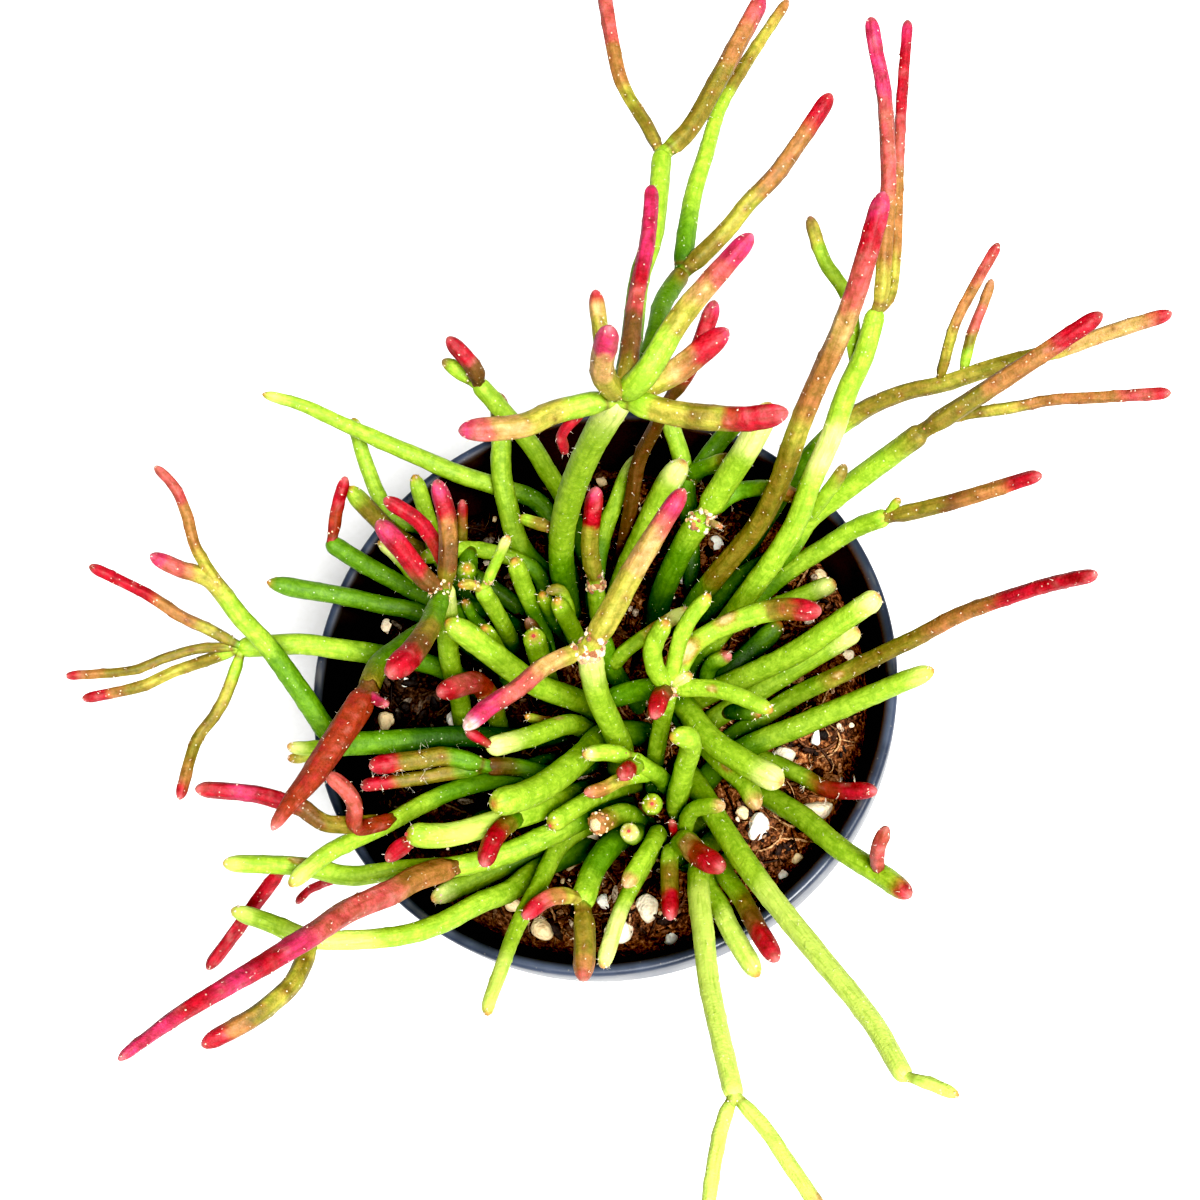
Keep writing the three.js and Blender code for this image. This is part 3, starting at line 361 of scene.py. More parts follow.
@dataclass(frozen=True)
class DampCoirBed(Finish):
    """Packed coir pith and peat: crumbs that are darker where their relief is lower, near black in the
    hollows as painted shade, with red-brown dry grains on their tops.
    """

    label: str = "damp_coir_bed"
    crumb: float = 0.8  # mm
    patch: float = 5.0  # mm, width of the drier patches
    # Crumb colours from low relief to high: the near-black low end is painted shade in the hollows.
    damp: Stops = ((0.4, "#0e0805"), (0.5, "#3a2012"), (0.58, "#754528"), (0.7, "#b88458"))
    dry: Stops = ((0.38, "#24140a"), (0.48, "#66391e"), (0.56, "#9a6238"), (0.68, "#d8a472"))

    def shade(self, add: AddNode, place: Socket) -> Socket:
        """Builds the bed from crumbs and dry patches, darkened by its tint as painted shade.

        Args:
            add: Adds a node to the material.
            place: The shaded place, in metres.

        Returns:
            The shader.
        """
        tint = add("Attribute", attribute_name="tint")
        crumbs = add("TexNoise", place, per_mm(self.crumb), inputs={"Detail": 6.0, "Roughness": 0.72})
        patches = add("TexNoise", place, per_mm(self.patch))
        damp, dry = (add("ValToRGB", crumbs, stops=stops) for stops in (self.damp, self.dry))
        is_dry = add("MapRange", patches, 0.42, 0.62)
        coloured = add("Mix", is_dry, damp, dry, **BLEND)
        # The tint brings in the mix's painted shade.
        shade_dimmed = add("Mix", 1.0, coloured, tint, **MULTIPLY)
        relief = add("Bump", inputs={"Height": crumbs, "Strength": 1.0, "Distance": 0.6 * MM})
        return add("BsdfPrincipled", inputs={
            "Base Color": shade_dimmed, "Normal": relief, "Roughness": 0.86, "IOR": 1.4,
        })


@dataclass(frozen=True)
class ExpandedPerlite(Finish):
    """Popped volcanic glass: chalky cream-white, pitted, with brown silt in its pits."""

    label: str = "expanded_perlite"
    pit: float = 0.55  # mm
    silt: Hex = "#a07a4c"

    def shade(self, add: AddNode, place: Socket) -> Socket:
        """Builds the grain from its own tint, with silt in the pits.

        Args:
            add: Adds a node to the material.
            place: The shaded place, in metres.

        Returns:
            The shader.
        """
        tint = add("Attribute", attribute_name="tint")
        pits = add("TexVoronoi", place, per_mm(self.pit))
        smears = add("TexNoise", place, per_mm(3 * self.pit), inputs={"Detail": 4.0})
        is_pit = add("MapRange", pits, 0.3, 0.08, inputs={"To Max": 0.35})
        is_smear = add("MapRange", smears, 0.52, 0.72, inputs={"To Max": 0.55})
        dirt = add("Math", is_pit, is_smear, operation="MAXIMUM")
        coloured = add("Mix", dirt, tint, linear(self.silt), **BLEND)
        relief = add("Bump", inputs={"Height": pits, "Strength": 0.8, "Distance": 0.2 * MM})
        return add("BsdfPrincipled", inputs={
            "Base Color": coloured, "Normal": relief, "Roughness": 0.88, "IOR": 1.5,
            "Subsurface Weight": 0.1, "Subsurface Scale": 0.4 * MM,
        })


@dataclass(frozen=True)
class MouldedPolypropylene(Finish):
    """Thin injection-moulded pot plastic: slate-dark and satin, faintly pebbled, dusty and rubbed."""

    label: str = "moulded_polypropylene"
    pebble: float = 0.35  # mm, grain of the mould's surface, coarser than real so that it shows
    smudge: float = 9.0  # mm
    scuff: float = 0.6  # mm, width of the rub marks that run round the pot
    plastic: Hex = "#2c323f"
    faded: Hex = "#3c4455"
    dust: Hex = "#8a8378"
    shaded_film: Hex = "#060403"  # peat film on the inside, near black as painted shade on its shaded side
    # Colour of that film towards the lit side, where its painted shade lifts.
    lit_film: Hex = "#4c301e"
    lit_side: Place = (0.8, 0.6, 0.0)
    wall_at: float = 35.6  # mm, radius at the base that parts the outside from the inside
    wall_slope: float = 0.1647  # how much that radius grows with height

    def shade(self, add: AddNode, place: Socket) -> Socket:
        """Builds the plastic with faded smudges, rub marks and dust, and inside a peat film painted near
        black as painted shade, browner towards the lit side.

        Args:
            add: Adds a node to the material.
            place: The shaded place, in metres.

        Returns:
            The shader.
        """
        dust = linear(self.dust)
        smudges = add("TexNoise", place, per_mm(self.smudge), inputs={"Detail": 5.0, "Roughness": 0.6})
        round_it = add("Mapping", inputs={"Vector": place, "Scale": (0.08, 0.08, 1.0)})
        scuffs = add("TexNoise", round_it, per_mm(self.scuff))
        pebbles = add("TexNoise", place, per_mm(self.pebble))
        specks = add("TexVoronoi", place, per_mm(4 * self.pebble))
        is_scuff = add("MapRange", scuffs, 0.62, 0.74, inputs={"To Max": 0.3})
        is_speck = add("MapRange", specks, 0.12, 0.06, inputs={"To Max": 0.5})
        base = add("ValToRGB", smudges, stops=((0.38, self.plastic), (0.66, self.faded)))
        scuffed = add("Mix", is_scuff, base, dust, **BLEND)
        dusty = add("Mix", is_speck, scuffed, dust, **BLEND)
        height = add("SeparateXYZ", place, output="Z")
        outwards = add("VectorMath", place, (1.0, 1.0, 0.0), operation="MULTIPLY")
        reach = add("VectorMath", outwards, operation="LENGTH")
        wall = add("Math", height, self.wall_slope, self.wall_at * MM, operation="MULTIPLY_ADD")
        inside = add("Math", wall, reach, operation="SUBTRACT")
        is_inside = add("MapRange", inside, -0.3 * MM, 0.5 * MM)
        # Painted shade inside the pot: the film is browner towards the lit side and near black away from
        # it.
        towards = add("VectorMath", place, self.lit_side, operation="DOT_PRODUCT")
        lit_share = add("MapRange", towards, -0.04, 0.05)
        crumbly = add("Math", lit_share, pebbles, operation="MULTIPLY")
        film_and_shade = add("Mix", crumbly, linear(self.shaded_film), linear(self.lit_film), **BLEND)
        filmed_and_shaded = add("Mix", is_inside, dusty, film_and_shade, **BLEND)
        rough = add("MapRange", smudges, 0.35, 0.65, inputs={"To Min": 0.3, "To Max": 0.42})
        rough_film = add("MapRange", is_inside, inputs={"To Max": 0.4})
        dulled = add("Math", rough, rough_film, operation="ADD")
        relief = add("Bump", inputs={"Height": pebbles, "Strength": 0.3, "Distance": 0.05 * MM})
        return add("BsdfPrincipled", inputs={
            "Base Color": filmed_and_shaded, "Roughness": dulled, "Normal": relief, "IOR": 1.49,
        })


# ---- Mesh tools ----


def value_noise(points: Array, size: float, layer: int = 0) -> Array:
    """Smooth noise whose bumps are about `size` wide.

    Args:
        points: Places, one a row.
        size: Width of the bumps, in the unit of the points.
        layer: Another number gives other noise.

    Returns:
        A value from -1 to 1 for each place.
    """
    cell = np.floor(points / size)
    share = points / size - cell
    share = share * share * (3 - 2 * share)
    total = np.zeros(len(points))
    for corner in itertools.product((0, 1), repeat=3):
        hashed = np.sin((cell + corner) @ (12.9898, 78.233, 37.719) + 4.1 * layer) * 43758.5453
        weight = np.prod(np.where(corner, share, 1 - share), axis=1)
        total += weight * (hashed - np.floor(hashed))
    return 2 * total - 1


def smoothstep(values: Array | float, low: float, high: float) -> Array:
    """Eases from 0 at `low` to 1 at `high`."""
    share = np.clip((np.asarray(values) - low) / (high - low), 0, 1)
    return share * share * (3 - 2 * share)


def unit(vectors: Array) -> Array:
    """Vectors of length one in the same directions."""
    return vectors / np.maximum(np.linalg.norm(vectors, axis=-1, keepdims=True), 1e-9)


def circle(sides: int) -> Array:
    """Angles of `sides` even steps round a circle."""
    return np.arange(sides) * math.tau / sides


def spokes(normals: Array, sides: int) -> Array:
    """Even spokes square to directions.

    Args:
        normals: The directions, unit vectors, one a row.
        sides: Number of spokes.

    Returns:
        The spokes, by direction and spoke.
    """
    upright = np.abs(normals[:, 2:]) > 0.9
    helper = np.where(upright, (1.0, 0.0, 0.0), (0.0, 0.0, 1.0))
    first = unit(np.cross(helper, normals))
    turns = circle(sides)[:, None]
    return np.cos(turns) * first[:, None] + np.sin(turns) * np.cross(normals, first)[:, None]


@dataclass
class MeshDraft:
    """A mesh while it is gathered, in millimetres, with a finish for each face, a tint for each corner."""

    points: list[Array] = field(default_factory=list)
    tints: list[Array] = field(default_factory=list)
    wraps: list[Array] = field(default_factory=list)
    faces: list[tuple[Array, int, bool]] = field(default_factory=list)
    count: int = 0

    def add(
        self, points: Array, faces: list[Array], tint: Array, finish: int = 0,
        wrap: Array | None = None, smooth: bool = True,
    ) -> None:
        """Adds one part.

        Args:
            points: Its corners, one a row.
            faces: Arrays of faces with equally many corners, numbered within the part.
            tint: Linear red, green and blue, or one number for all three, for each corner or for all.
            finish: Which of the piece's materials it takes.
            wrap: Coordinates for streaks along the part, one a row.
            smooth: Whether it is shaded smooth.
        """
        self.points.append(points)
        self.tints.append(np.broadcast_to(tint, (len(points), 3)))
        self.wraps.append(np.zeros_like(points) if wrap is None else wrap)
        self.faces += [(np.asarray(part) + self.count, finish, smooth) for part in faces]
        self.count += len(points)

    def add_cones(self, rings: list[Array], apexes: Array, tints: Array, finish: int) -> None:
        """Adds small cones, each of two rings and an apex.

        Args:
            rings: Corners of the lower and the upper rings, by cone and corner.
            apexes: Apex of each.
            tints: Linear colour of each.
            finish: Their material.
        """
        points = np.concatenate([*rings, apexes[:, None]], axis=1)
        sides = rings[0].shape[1]
        around = np.arange(sides)
        beside = (around + 1) % sides
        base = np.arange(len(apexes))[:, None, None] * points.shape[1]  # number of each cone's first corner
        walls = base + np.stack([around, beside, beside + sides, around + sides], -1)
        crown = base + np.stack([around + sides, beside + sides, np.full(sides, 2 * sides)], -1)
        self.add(points.reshape(-1, 3), [walls.reshape(-1, 4), crown.reshape(-1, 3)],
                 np.repeat(tints, points.shape[1], axis=0), finish)

    def make(self, name: str, materials: list[bpy.types.Material], held: bool = True) -> Piece:
        """Makes the object.

        Args:
            name: Name of the object.
            materials: Its materials, in the order of the finishes.
            held: Whether it is kept inside the CAD model's box.

        Returns:
            The object, linked to the scene.
        """
        points = np.concatenate(self.points) * MM
        if held:
            points = np.clip(points, CAD_BOX[0], CAD_BOX[1])
        sizes = np.concatenate([np.full(len(part), part.shape[1]) for part, _, _ in self.faces])
        corners = np.concatenate([part.ravel() for part, _, _ in self.faces])
        mesh = bpy.data.meshes.new(name)
        mesh.vertices.add(len(points))
        mesh.vertices.foreach_set("co", points.astype(np.float32).ravel())
        mesh.loops.add(len(corners))
        mesh.loops.foreach_set("vertex_index", corners)
        mesh.polygons.add(len(sizes))
        mesh.polygons.foreach_set("loop_start", np.concatenate([[0], np.cumsum(sizes)[:-1]]))
        for key, column in (("material_index", 1), ("use_smooth", 2)):
            values = np.concatenate([np.full(len(row[0]), row[column]) for row in self.faces])
            mesh.polygons.foreach_set(key, values)
        mesh.update(calc_edges=True)
        tints = np.ones((len(points), 4), np.float32)
        tints[:, :3] = np.concatenate(self.tints)
        mesh.attributes.new("tint", "FLOAT_COLOR", "POINT").data.foreach_set("color", tints.ravel())
        wraps = (np.concatenate(self.wraps) * MM).astype(np.float32)
        mesh.attributes.new("wrap", "FLOAT_VECTOR", "POINT").data.foreach_set("vector", wraps.ravel())
        for material in materials:
            mesh.materials.append(material)
        made = bpy.data.objects.new(name, mesh)
        bpy.context.scene.collection.objects.link(made)
        return made


def tube_faces(rings: int, sides: int) -> list[Array]:
    """Faces of a closed tube of rings, with a point before the first ring and one after the last.

    Args:
        rings: Number of rings.
        sides: Corners of each ring.

    Returns:
        The side faces, and the two fans that close the ends.
    """
    around = np.arange(sides)
    starts = 1 + np.arange(rings)[:, None] * sides
    first, after = starts + around, starts + (around + 1) % sides
    walls = np.stack([first[:-1], after[:-1], after[1:], first[1:]], -1).reshape(-1, 4)
    near = np.stack([np.zeros(sides, int), after[0], first[0]], -1)
    far = np.stack([first[-1], after[-1], np.full(sides, 1 + rings * sides)], -1)
    return [walls, near, far]


# ---- The shoots ----


class Tone(Enum):
    """Colours that a joint passes through from its foot to its tip: a letter, and the skin's colour, which
    for the deep green also holds painted shade.
    """

    # Deep green of the stem bases: partly the skin's own colour, partly painted shade.
    DEEP = ("d", "#3a6216")
    GREEN = ("g", "#6c9622")
    LIME = ("l", "#a6c43e")
    FRESH = ("f", "#cbde6c")
    PALE = ("p", "#e2e890")
    YELLOW = ("y", "#bcb04c")
    OLIVE = ("o", "#908030")
    BROWN = ("b", "#7c5630")
    AMBER = ("a", "#b47c48")
    PEACH = ("e", "#d8aa70")
    RUST = ("u", "#a23e26")
    SALMON = ("s", "#c45c58")
    RED = ("r", "#b4142a")
    PINK = ("k", "#c83464")
    BLOOM = ("w", "#e2c2c8")
    CORK = ("c", "#d8b48c")


TONES = {tone.value[0]: linear(tone.value[1])[:3] for tone in Tone}
FLUSHED = "oabeusrkw"  # tones of the skin that the sun has reddened


class Tip(Enum):
    """How a joint ends: depth, in radii, and power of the superellipse that its half widths follow."""

    WOOL = (2.1, 2.0)  # a ring of woolly areoles
    RED_DOT = (1.2, 2.1)  # a red growing point
    BLUNT = (1.3, 2.2)  # broad and nearly bare
    HAIRY = (1.9, 2.0)  # bristly over its last stretch
    FRIZZY = (1.5, 2.0)  # long bent hairs over its last stretch
    POINT = (2.6, 1.8)
    CUT = (0.4, 3.5)  # cut off, dried over


FORK_END = (1.15, 2.0)  # the same for a joint that carries others at its tip


@dataclass(frozen=True)
class Stem:
    """One joint of a shoot."""

    name: str
    on: str  # what it grows from
    share: float  # how far along that one
    wide: Pair
    tones: str
    tip: Tip
    route: tuple[Place, ...]


# A line without an indent names a shoot, and its joints follow. A joint has a name, with < and the joint
# that it grows from where it isn't rooted, and @ and how far along that one where that isn't its tip; its
# width at foot and tip; the letters of the tones that it passes through, with / and its kind of tip where
# that isn't woolly; and the places x,y,z that it runs through, where one without z is on the mix. A line
# with three spaces goes on with the joint above.
JOINTS = """
back_crown
 trunk 4.3 4.3 dgglllp -8,16 -6,16.5,92 -3.5,18.5,105 1,20,120 7,21,136 13,21,150
 left_arm<trunk 3.4 3.4 llllyyyeesk 4.5,18.5,152 -0.5,15.5,154 -9,14.5,156
 right_arm<trunk 3.8 3.4 lllyyoyurrr 20.5,17.5,151 30,15.5,152 37,15.5,153
 small_finger<trunk 2.7 2.2 llyyyer 12,22,156 11.5,27.5,158 11,33,160
 raised_finger<trunk 3.4 3.2 lyyyeekk 12,20,160 14.5,21.5,170
 red_rod<trunk 2.8 2.1 oobbsrkkkk 14.5,23.5,153 15.5,36.5,150 17,47.5,148 17.5,58,146
 right_finger<trunk 4 2.8 lllllyyeskk 17.5,21.5,156 22.5,28.5,158 27,32,161 33.5,37.5,164
 low_finger<trunk 3.7 3.7 llyyearrk 21,24,151 25,26.5,152 29,29,153
 back_stem<trunk 3.2 3.2 ggllll 14.5,29.5,147 15.5,43,144 17.5,52.5,142 18.5,67,140
 top_left<back_stem 2 2.3 yooyaassk 16,73,140 13,79,140 11.5,84,141 9.5,98,142
 top_mid<back_stem 3.1 2.8 looooaask 23,71.5,140 28,81,140 35,94.5,141
 top_nub<back_stem 1.9 1.7 ll 22.5,74.5,136
 back_fork<trunk 2.9 3 ggggo 16.5,34.5,143 17.5,43,138 20,50,134
 top_right<back_fork 3.2 1.8 dgllloya 22,64.5,131 24.5,74,130 26.5,82,129 30,89.5,128 38.5,104,127
 side_end<back_fork 2.9 2.6 gooyyaaarr 27,55,136 31.5,59,138 36.5,63,140 45,73,144
 hanging_tip<left_arm@0.15 1.6 1.5 rrr 4.5,17,148 4,16,143
 side_nub<trunk@0.4 2.4 2 ool -10.5,22,106
back_woody
 foot 2.6 2.4 bbbbb 2,22.5 7,27.5,95 10,31.5,105 13.5,33,113 16.5,34.5,120
 red_end<foot 2.4 2.6 bbrrrk 21,37.5,126 25.5,45.5,132
back_upright
 stem 4.2 3.4 dggllla -11,23 -14.5,26,83 -15.5,30.5,89 -16,36,94 -15.5,40.5,97 -15.5,48.5,100
back_left_forked
 stem 3.5 3.3 ddggllll -3.5,24 -5.5,31.5,88 -7.5,34.5,96 -9.5,37.5,101 -14,42,108 -16.5,44.5,111
 lime_end<stem 3.2 2.6 lllo -20,47,112 -22.5,48.5,113
 red_end<stem 3 2.7 bbbrrr -16.5,45.5,116 -20,49,120
left_back_long
 stem 3.7 1.7 ddgggllllllf/point -6.5,18.5 -10,31.5,84 -17,34,90 -23.5,35.5,94 -30,38,97 -36.5,40.5,100
   -42.5,42.5,104 -48.5,44.5,108 -54.5,45.5,111
left_back_pair
 upper 3.2 3.4 ddggloool -16,16.5 -26,23,80 -35.5,27,87 -40.5,31,94 -42.5,33,98
 lower<upper@0.35 3 2.6 dglll -30.5,28.5,85 -37.5,31,87 -40.5,38,93 -42.5,46.5,97
left_back_red
 stem 3.3 3.3 dddgggg -19.5,11 -30,16,82 -37,19,88 -41.5,21,92 -45.5,23,96
 red_end<stem 2.2 2 rurr -43.5,28.5,100 -41,32,104
 nub<stem@0.42 2.1 2 llp -35,22,88 -38.5,25,91
left_plain
 stem 3.3 3.4 dddggggg/point -18.5,5 -30.5,13,84 -38.5,14.5,88 -44.5,15,92 -51,15.5,95 -56,16,98
left_inner_fingers
 lime 2.9 2.8 ggll -24.5,18.5 -28,23.5,88 -28,26.5,95 -29,32.5,103
 thin<lime@0.25 2 1.9 ggor -24,25,87 -23,28.5,91 -22.5,31.5,94
left_inner_low
 stem 2.9 2.9 ddgglll -8.5,13.5 -9.5,20.5,84 -16.5,22.5,90 -22.5,21.5,95 -28,18.5,99
 stub<stem@0.72 3.3 3.4 gggl -20,15.5,98 -18.5,14,105
left_inner_fork
 stem 3 3 dgglll -16,8 -15,7.5,95 -15.5,8.5,108
 hairy_end<stem 2 1.8 lllp/hairy -12,13,112 -10,15,115
 side_end<stem 2 2 yyy -17.5,9,110 -19,8.5,111
 back_nub<stem@0.25 2.2 2 dgg -20.5,9.5,90 -22,12,95
left_pillar
 pillar 3.7 3.5 glllp -25.5,-3.5 -25,0,82 -24,3,95 -22,5,105 -20,5.5,116
 rod<pillar 3.1 3 oobbarkk -18.5,9.5,120 -18,14.5,124 -19,19.5,128
 finger<pillar 3.3 3.2 obbrrkk -22.5,6.5,119 -25.5,10.5,123 -28.5,13.5,127
 back_finger<pillar 2.6 2.4 burrr -19.5,9,117 -23,15.5,118 -26,18,120 -29,19.5,122
 club<pillar 3 4.1 gggobrr -20.5,1,119 -20.5,-3,123 -22,-9,128 -24,-13.5,133
left_blob
 stem 3.4 3.9 glllyusr -18.5,-7.5 -18,-5,88 -18.5,-4,95 -20,-5,99 -23.5,-8,104
middle_left_stub
 stub 2.9 3 gggll -18,2.5 -17,4,90 -17,4.5,102
 low<stub@0.15 2.4 2.4 dddg -12.5,3.5,82 -19.5,7.5,86
middle_left_long
 stem 4.1 4 gggllllll 0,-8 -2,-6,82 -8.5,-5,95 -12.5,-3,103 -16.5,-0.5,110 -20,1.5,114
middle_stubs
 front 3.9 3.8 gglll/red_dot -11,1 -9.5,1.5,92 -7.5,0.5,108
 back<front@0.1 3.3 3.2 dggll -10,8.5,84 -11,13,97 -11,14.5,105
 dark<front@0.15 2.6 2.4 ddgb -10.5,7,84 -12,10.5,92
middle_fingers
 finger 3.3 3.2 gglll -2.5,7 -2.5,6.5,90 -3.5,8,104
 small<finger@0.1 2.6 2.6 ddgl -7,10,86 -8,12,97
 bridge<finger@0.6 2.4 2.3 glo -3.5,11,99 -6,11,100
middle_back
 stem 3.3 3.3 gggg 6.5,-1.5 4,0.5,82 3,2.5,90 2.5,5,96
 lime<stem@0.5 2.7 2.4 gllap 5.5,2,92 10.5,4.5,95 17.5,7,99
middle_pink_fork
 pillar 4.2 4 glllp 1,-15.5 1.5,-13,86 2,-11.5,98 2,-9.5,108 3,-6,120
 back_arm<pillar 4.1 3 lyyyyeeskr 7,-2,123 11,3,126 14.5,7.5,128 17,11,129 20,14.5,131
 front_arm<pillar 2.9 2.8 yyeesskkw -2.5,-9.5,123 -6,-13.5,125 -10,-17,127 -13.5,-21,129
middle_pale
 stem 3.9 3.4 ggllp 2.5,-10 -1,-10,87 -8,-14.5,97 -12.5,-18,105
 red_end<stem 1.9 1.8 brr -16.5,-16,108
 dot_end<stem@0.25 1.8 1.7 bbl -6,-10,90 -8,-10,93
middle_thick
 stem 4.5 4.6 ggllll/blunt 7,-8.5 1.5,-10.5,82 -1,-16.5,92 -6.5,-24.5,104 -12,-28.5,112
middle_knot
 foot 3.2 3 ggl 12.5,-18 12,-19,90 11,-19.5,96 9,-19,101
 left_end<foot 3 2.8 lllp 5.5,-18.5,104 1.5,-19.5,107
 red_end<foot@0.9 2.8 2.8 gllrr/hairy 8.5,-22,106 8,-24,109
 side_end<foot@0.7 2.3 2.3 llllyyar 7,-22,101 4,-24,103 1.5,-25,105
middle_bent
 finger 3.8 3.6 glllll 15,-24 12.5,-23,84 15,-20,96 17,-18,103 17,-17.5,108 14.5,-18,110
middle_fork
 foot 3.2 3 dgll 8,-20 9.5,-15,84 12,-10.5,93 14,-8,101
 left_arm<foot 3.5 3.6 ggd 9,-6.5,97 2,-6.5,92
 dot_end<foot@0.03 3.3 3.3 gglll/red_dot 10,-24,88 11.5,-27,101
 bent_end<foot 3.2 3 lllll 12.5,-6,106 12.5,-4,110 14,-2,113 15.5,-1.5,116
 back_end<foot 2.8 2.6 lllll 18.5,0,108 23,4,112
 right_arm<foot 3 3.6 lllllllorr 17,-3,104 19.5,-1,106 26.5,1.5,108 33,2,110 39,0.5,112
 nub<foot 3 2.9 lp 18,-6.5,104
 red_end<foot 2.8 3.1 bbrr 13,-11,106 12.5,-15,109
 long_end<foot 3 2.6 lllll 19,-8.5,103 24,-10,105 31,-14,107
right_upper
 stem 4.2 3.6 dglllllp/blunt 15,-3 20.5,-2.5,82 33.5,0,92 40,2,98 48.5,5.5,104
 nub<stem@0.12 2.7 2.7 dgggls 19.5,1,84 23.5,2,87
 dark<stem@0.12 3.8 3.8 ddg 25,3.5,80 32,8.5,84
right_lower
 stem 4.1 3.4 dgllllp/blunt 18,-7 25.5,-4,80 34.5,-0.5,86 45,3.5,92
 dark<stem@0.1 3 2.8 ddg 23,-6.5,80 28,-8,83
right_long
 stem 3.6 2.1 dggllyooaarrr 19,-11.5 31,-5.5,82 39.5,-4,90 48,-2.5,98 54.5,-1.5,104 60.5,-0.5,110
   66.5,-0.5,116 73.5,-0.5,122 79.5,-1.5,128
right_front
 stem 4.3 3.2 ddggglllllf 16.5,-14.5 24,-11,80 34.5,-9.5,86 43,-8,91 51,-6.5,96 56.5,-5.5,99
right_hairy
 stem 2.9 2.8 ddggllllurr/hairy 16.5,-10 27,-13.5,80 34,-18,84 39,-21.5,87 46.5,-23,91
right_bud
 stem 4.1 3.4 dgggllllllr 20,-15 28,-21.5,82 34,-26.5,87 40,-33,93 46.5,-38.5,98 50.5,-42.5,102
 pink_end<stem@0.84 2.2 2.1 ussu 46,-36,105 47.5,-33.5,110
front_right_pair
 upper 4.4 4.2 ddgglllp/blunt 8.5,0 13,-4.5,84 19.5,-14,92 25.5,-19.5,97 31.5,-24,101
 lower<upper@0.1 3.9 3.5 dgggllle 15.5,-9.5,83 21,-16.5,87 25,-21,90 27,-26,93
right_back_pair
 upper 3.4 3.2 ddgglll 16.5,7.5 24.5,14,82 32,17.5,87 39,19.5,92 44.5,21,96 49.5,21,100
 red_end<upper 2.9 2.3 ooobaarr 57.5,21,103 63.5,21,106 70,21.5,109 74.5,21.5,112
 nub<upper 1.8 1.7 ll 52,23,103
 lower<upper@0.2 3.5 3.3 dgllp/blunt 27.5,13.5,82 39.5,16,88
right_back_red
 stem 4.2 3.5 ddggglllo 17.5,11.5 25.5,15,84 33,17,92 37,20.5,99 41.5,22.5,104 48,25,110 55.5,27.5,117
 red_end<stem 3.2 2.5 ooooaaarrr 62.5,30,121 68.5,32.5,124 74.5,35,127 83.5,39,131
 thin_end<stem 1.9 1.8 looyaaasr 61,30,117 69.5,30,119 76,30,121 83,29,123 93,27.5,126
 nub<stem@0.52 2.6 2.3 gllo 43,23.5,108 45,26,110
right_back_long
 stem 3.8 2.3 ddddggglooyyyeer 19,17 29,26,88 38,34,97 46,38.5,102 53.5,40,106 61,40,109 69.5,41,112
   79,41.5,115 86.5,42.5,118 95.5,43.5,121
 fork_one<stem@0.62 1.8 1.7 ooyaasr 62.5,46,117 65.5,51,119 70,57,123
 fork_two<stem@0.65 1.8 1.7 llosaa 65.5,46.5,113 67.5,50.5,115 69,54,117
back_right_tall
 stem 4.2 3.2 dgglllllplll 15,3.5 24,10,88 31,15,98 35.5,19.5,104 38.5,24,110 42,28.5,116 45,34,121
   48,38,126 50,42.5,130
 long_end<stem 2.4 2.2 oyaassskkk 51,45,132 52,52,135 53,60.5,138 53,72.5,142 52,79.5,145 51.5,84,147
 thin_end<stem 1.9 1.7 oyaasrrk 52.5,46,130 54,57,132 55,68.5,134 56,78,136 57.5,89.5,138
 side_end<stem@0.88 2.3 2.2 gllllllyb 46,47.5,125 42.5,54,127 40.5,61,129
back_right_red
 stem 4 3.1 dddgoooooyaaesrk 15,11.5 18.5,14.5,82 23.5,17,90 29.5,20.5,98 33,23.5,105 35.5,26.5,112
   38,30,119 41.5,34.5,126 44.5,38,132 47,41.5,138 49,45,143 52,52.5,148
back_right_jointed
 foot 4.5 4.3 ddgl 10.5,12 12.5,16.5,82 17,21,92 20.5,23,98
 top<foot 4.4 4.2 lllpp 25,27,105 29.5,30.5,112 33,34,118
 stalk<foot 1.4 1.2 cc 24,19.5,102
 side_end<foot 3 2.9 gggla 25.5,27.5,97 31.5,26,101 36,22,105
back_right_green
 stem 3.2 3.1 dddgglp 17,17 17,24.5,83 17,30.5,89 16.5,35.5,95 15,40.5,99 14.5,43.5,102
 nub<stem@0.62 3 3 gggla 21,33,97 26,32.5,101
 back<stem@0.6 3.4 3.2 ggl 22.5,39,93 28,43.5,96
back_lime
 stem 4.3 4.3 ggglllp -1,13 3.5,19,84 8.5,24,92 13.5,29,100 17,31,105
back_finger_pair
 lime 3.2 3.2 gl -1.5,7.5 -1,11.5,86 -0.5,14.5,92
 yellow<lime 3.2 3 lyyyyrrk 0,18,99 1.5,21,105 3,24.5,110
 green<lime@0.3 3.6 2.5 dggllp -1.5,15.5,82 1,23.5,87 4.5,28.5,92 7.5,33,96 10.5,34.5,99
left_long
 stem 3.6 3.5 ddggglll -19.5,-0.5 -28,2.5,85 -36,3,92 -42.5,3,97 -48.5,3,101 -57,1.5,105
 upper_end<stem 2.1 1.9 goyaarrrr -62,4,108 -66.5,6,110 -71,9,112 -76,11.5,114 -80.5,13.5,116
 mid_end<stem 1.7 1.5 loooooar -64,1.5,106 -70.5,-0.5,107 -75,-2.5,108 -85.5,-3.5,110
 low_end<stem 2 1.9 llooyyoarr -65,0,103 -70,-1.5,103 -75,-4,104 -84.5,-6,105
 hanging_end<stem 2.1 1.9 llyoooar -60,-7,104 -62,-10.5,104 -64.5,-14.5,104 -66,-24,105
left_raised
 stem 4.1 3.9 dddddgg -8,-7.5 -14.5,-9,80 -23,-10,87 -32.5,-12,93 -42,-14,99
 split_top<stem 2.8 2.2 llp -46.5,-15,101 -49,-15,103
 split_low<stem 2.6 2 lly -47.5,-16,100 -49.5,-16.5,101
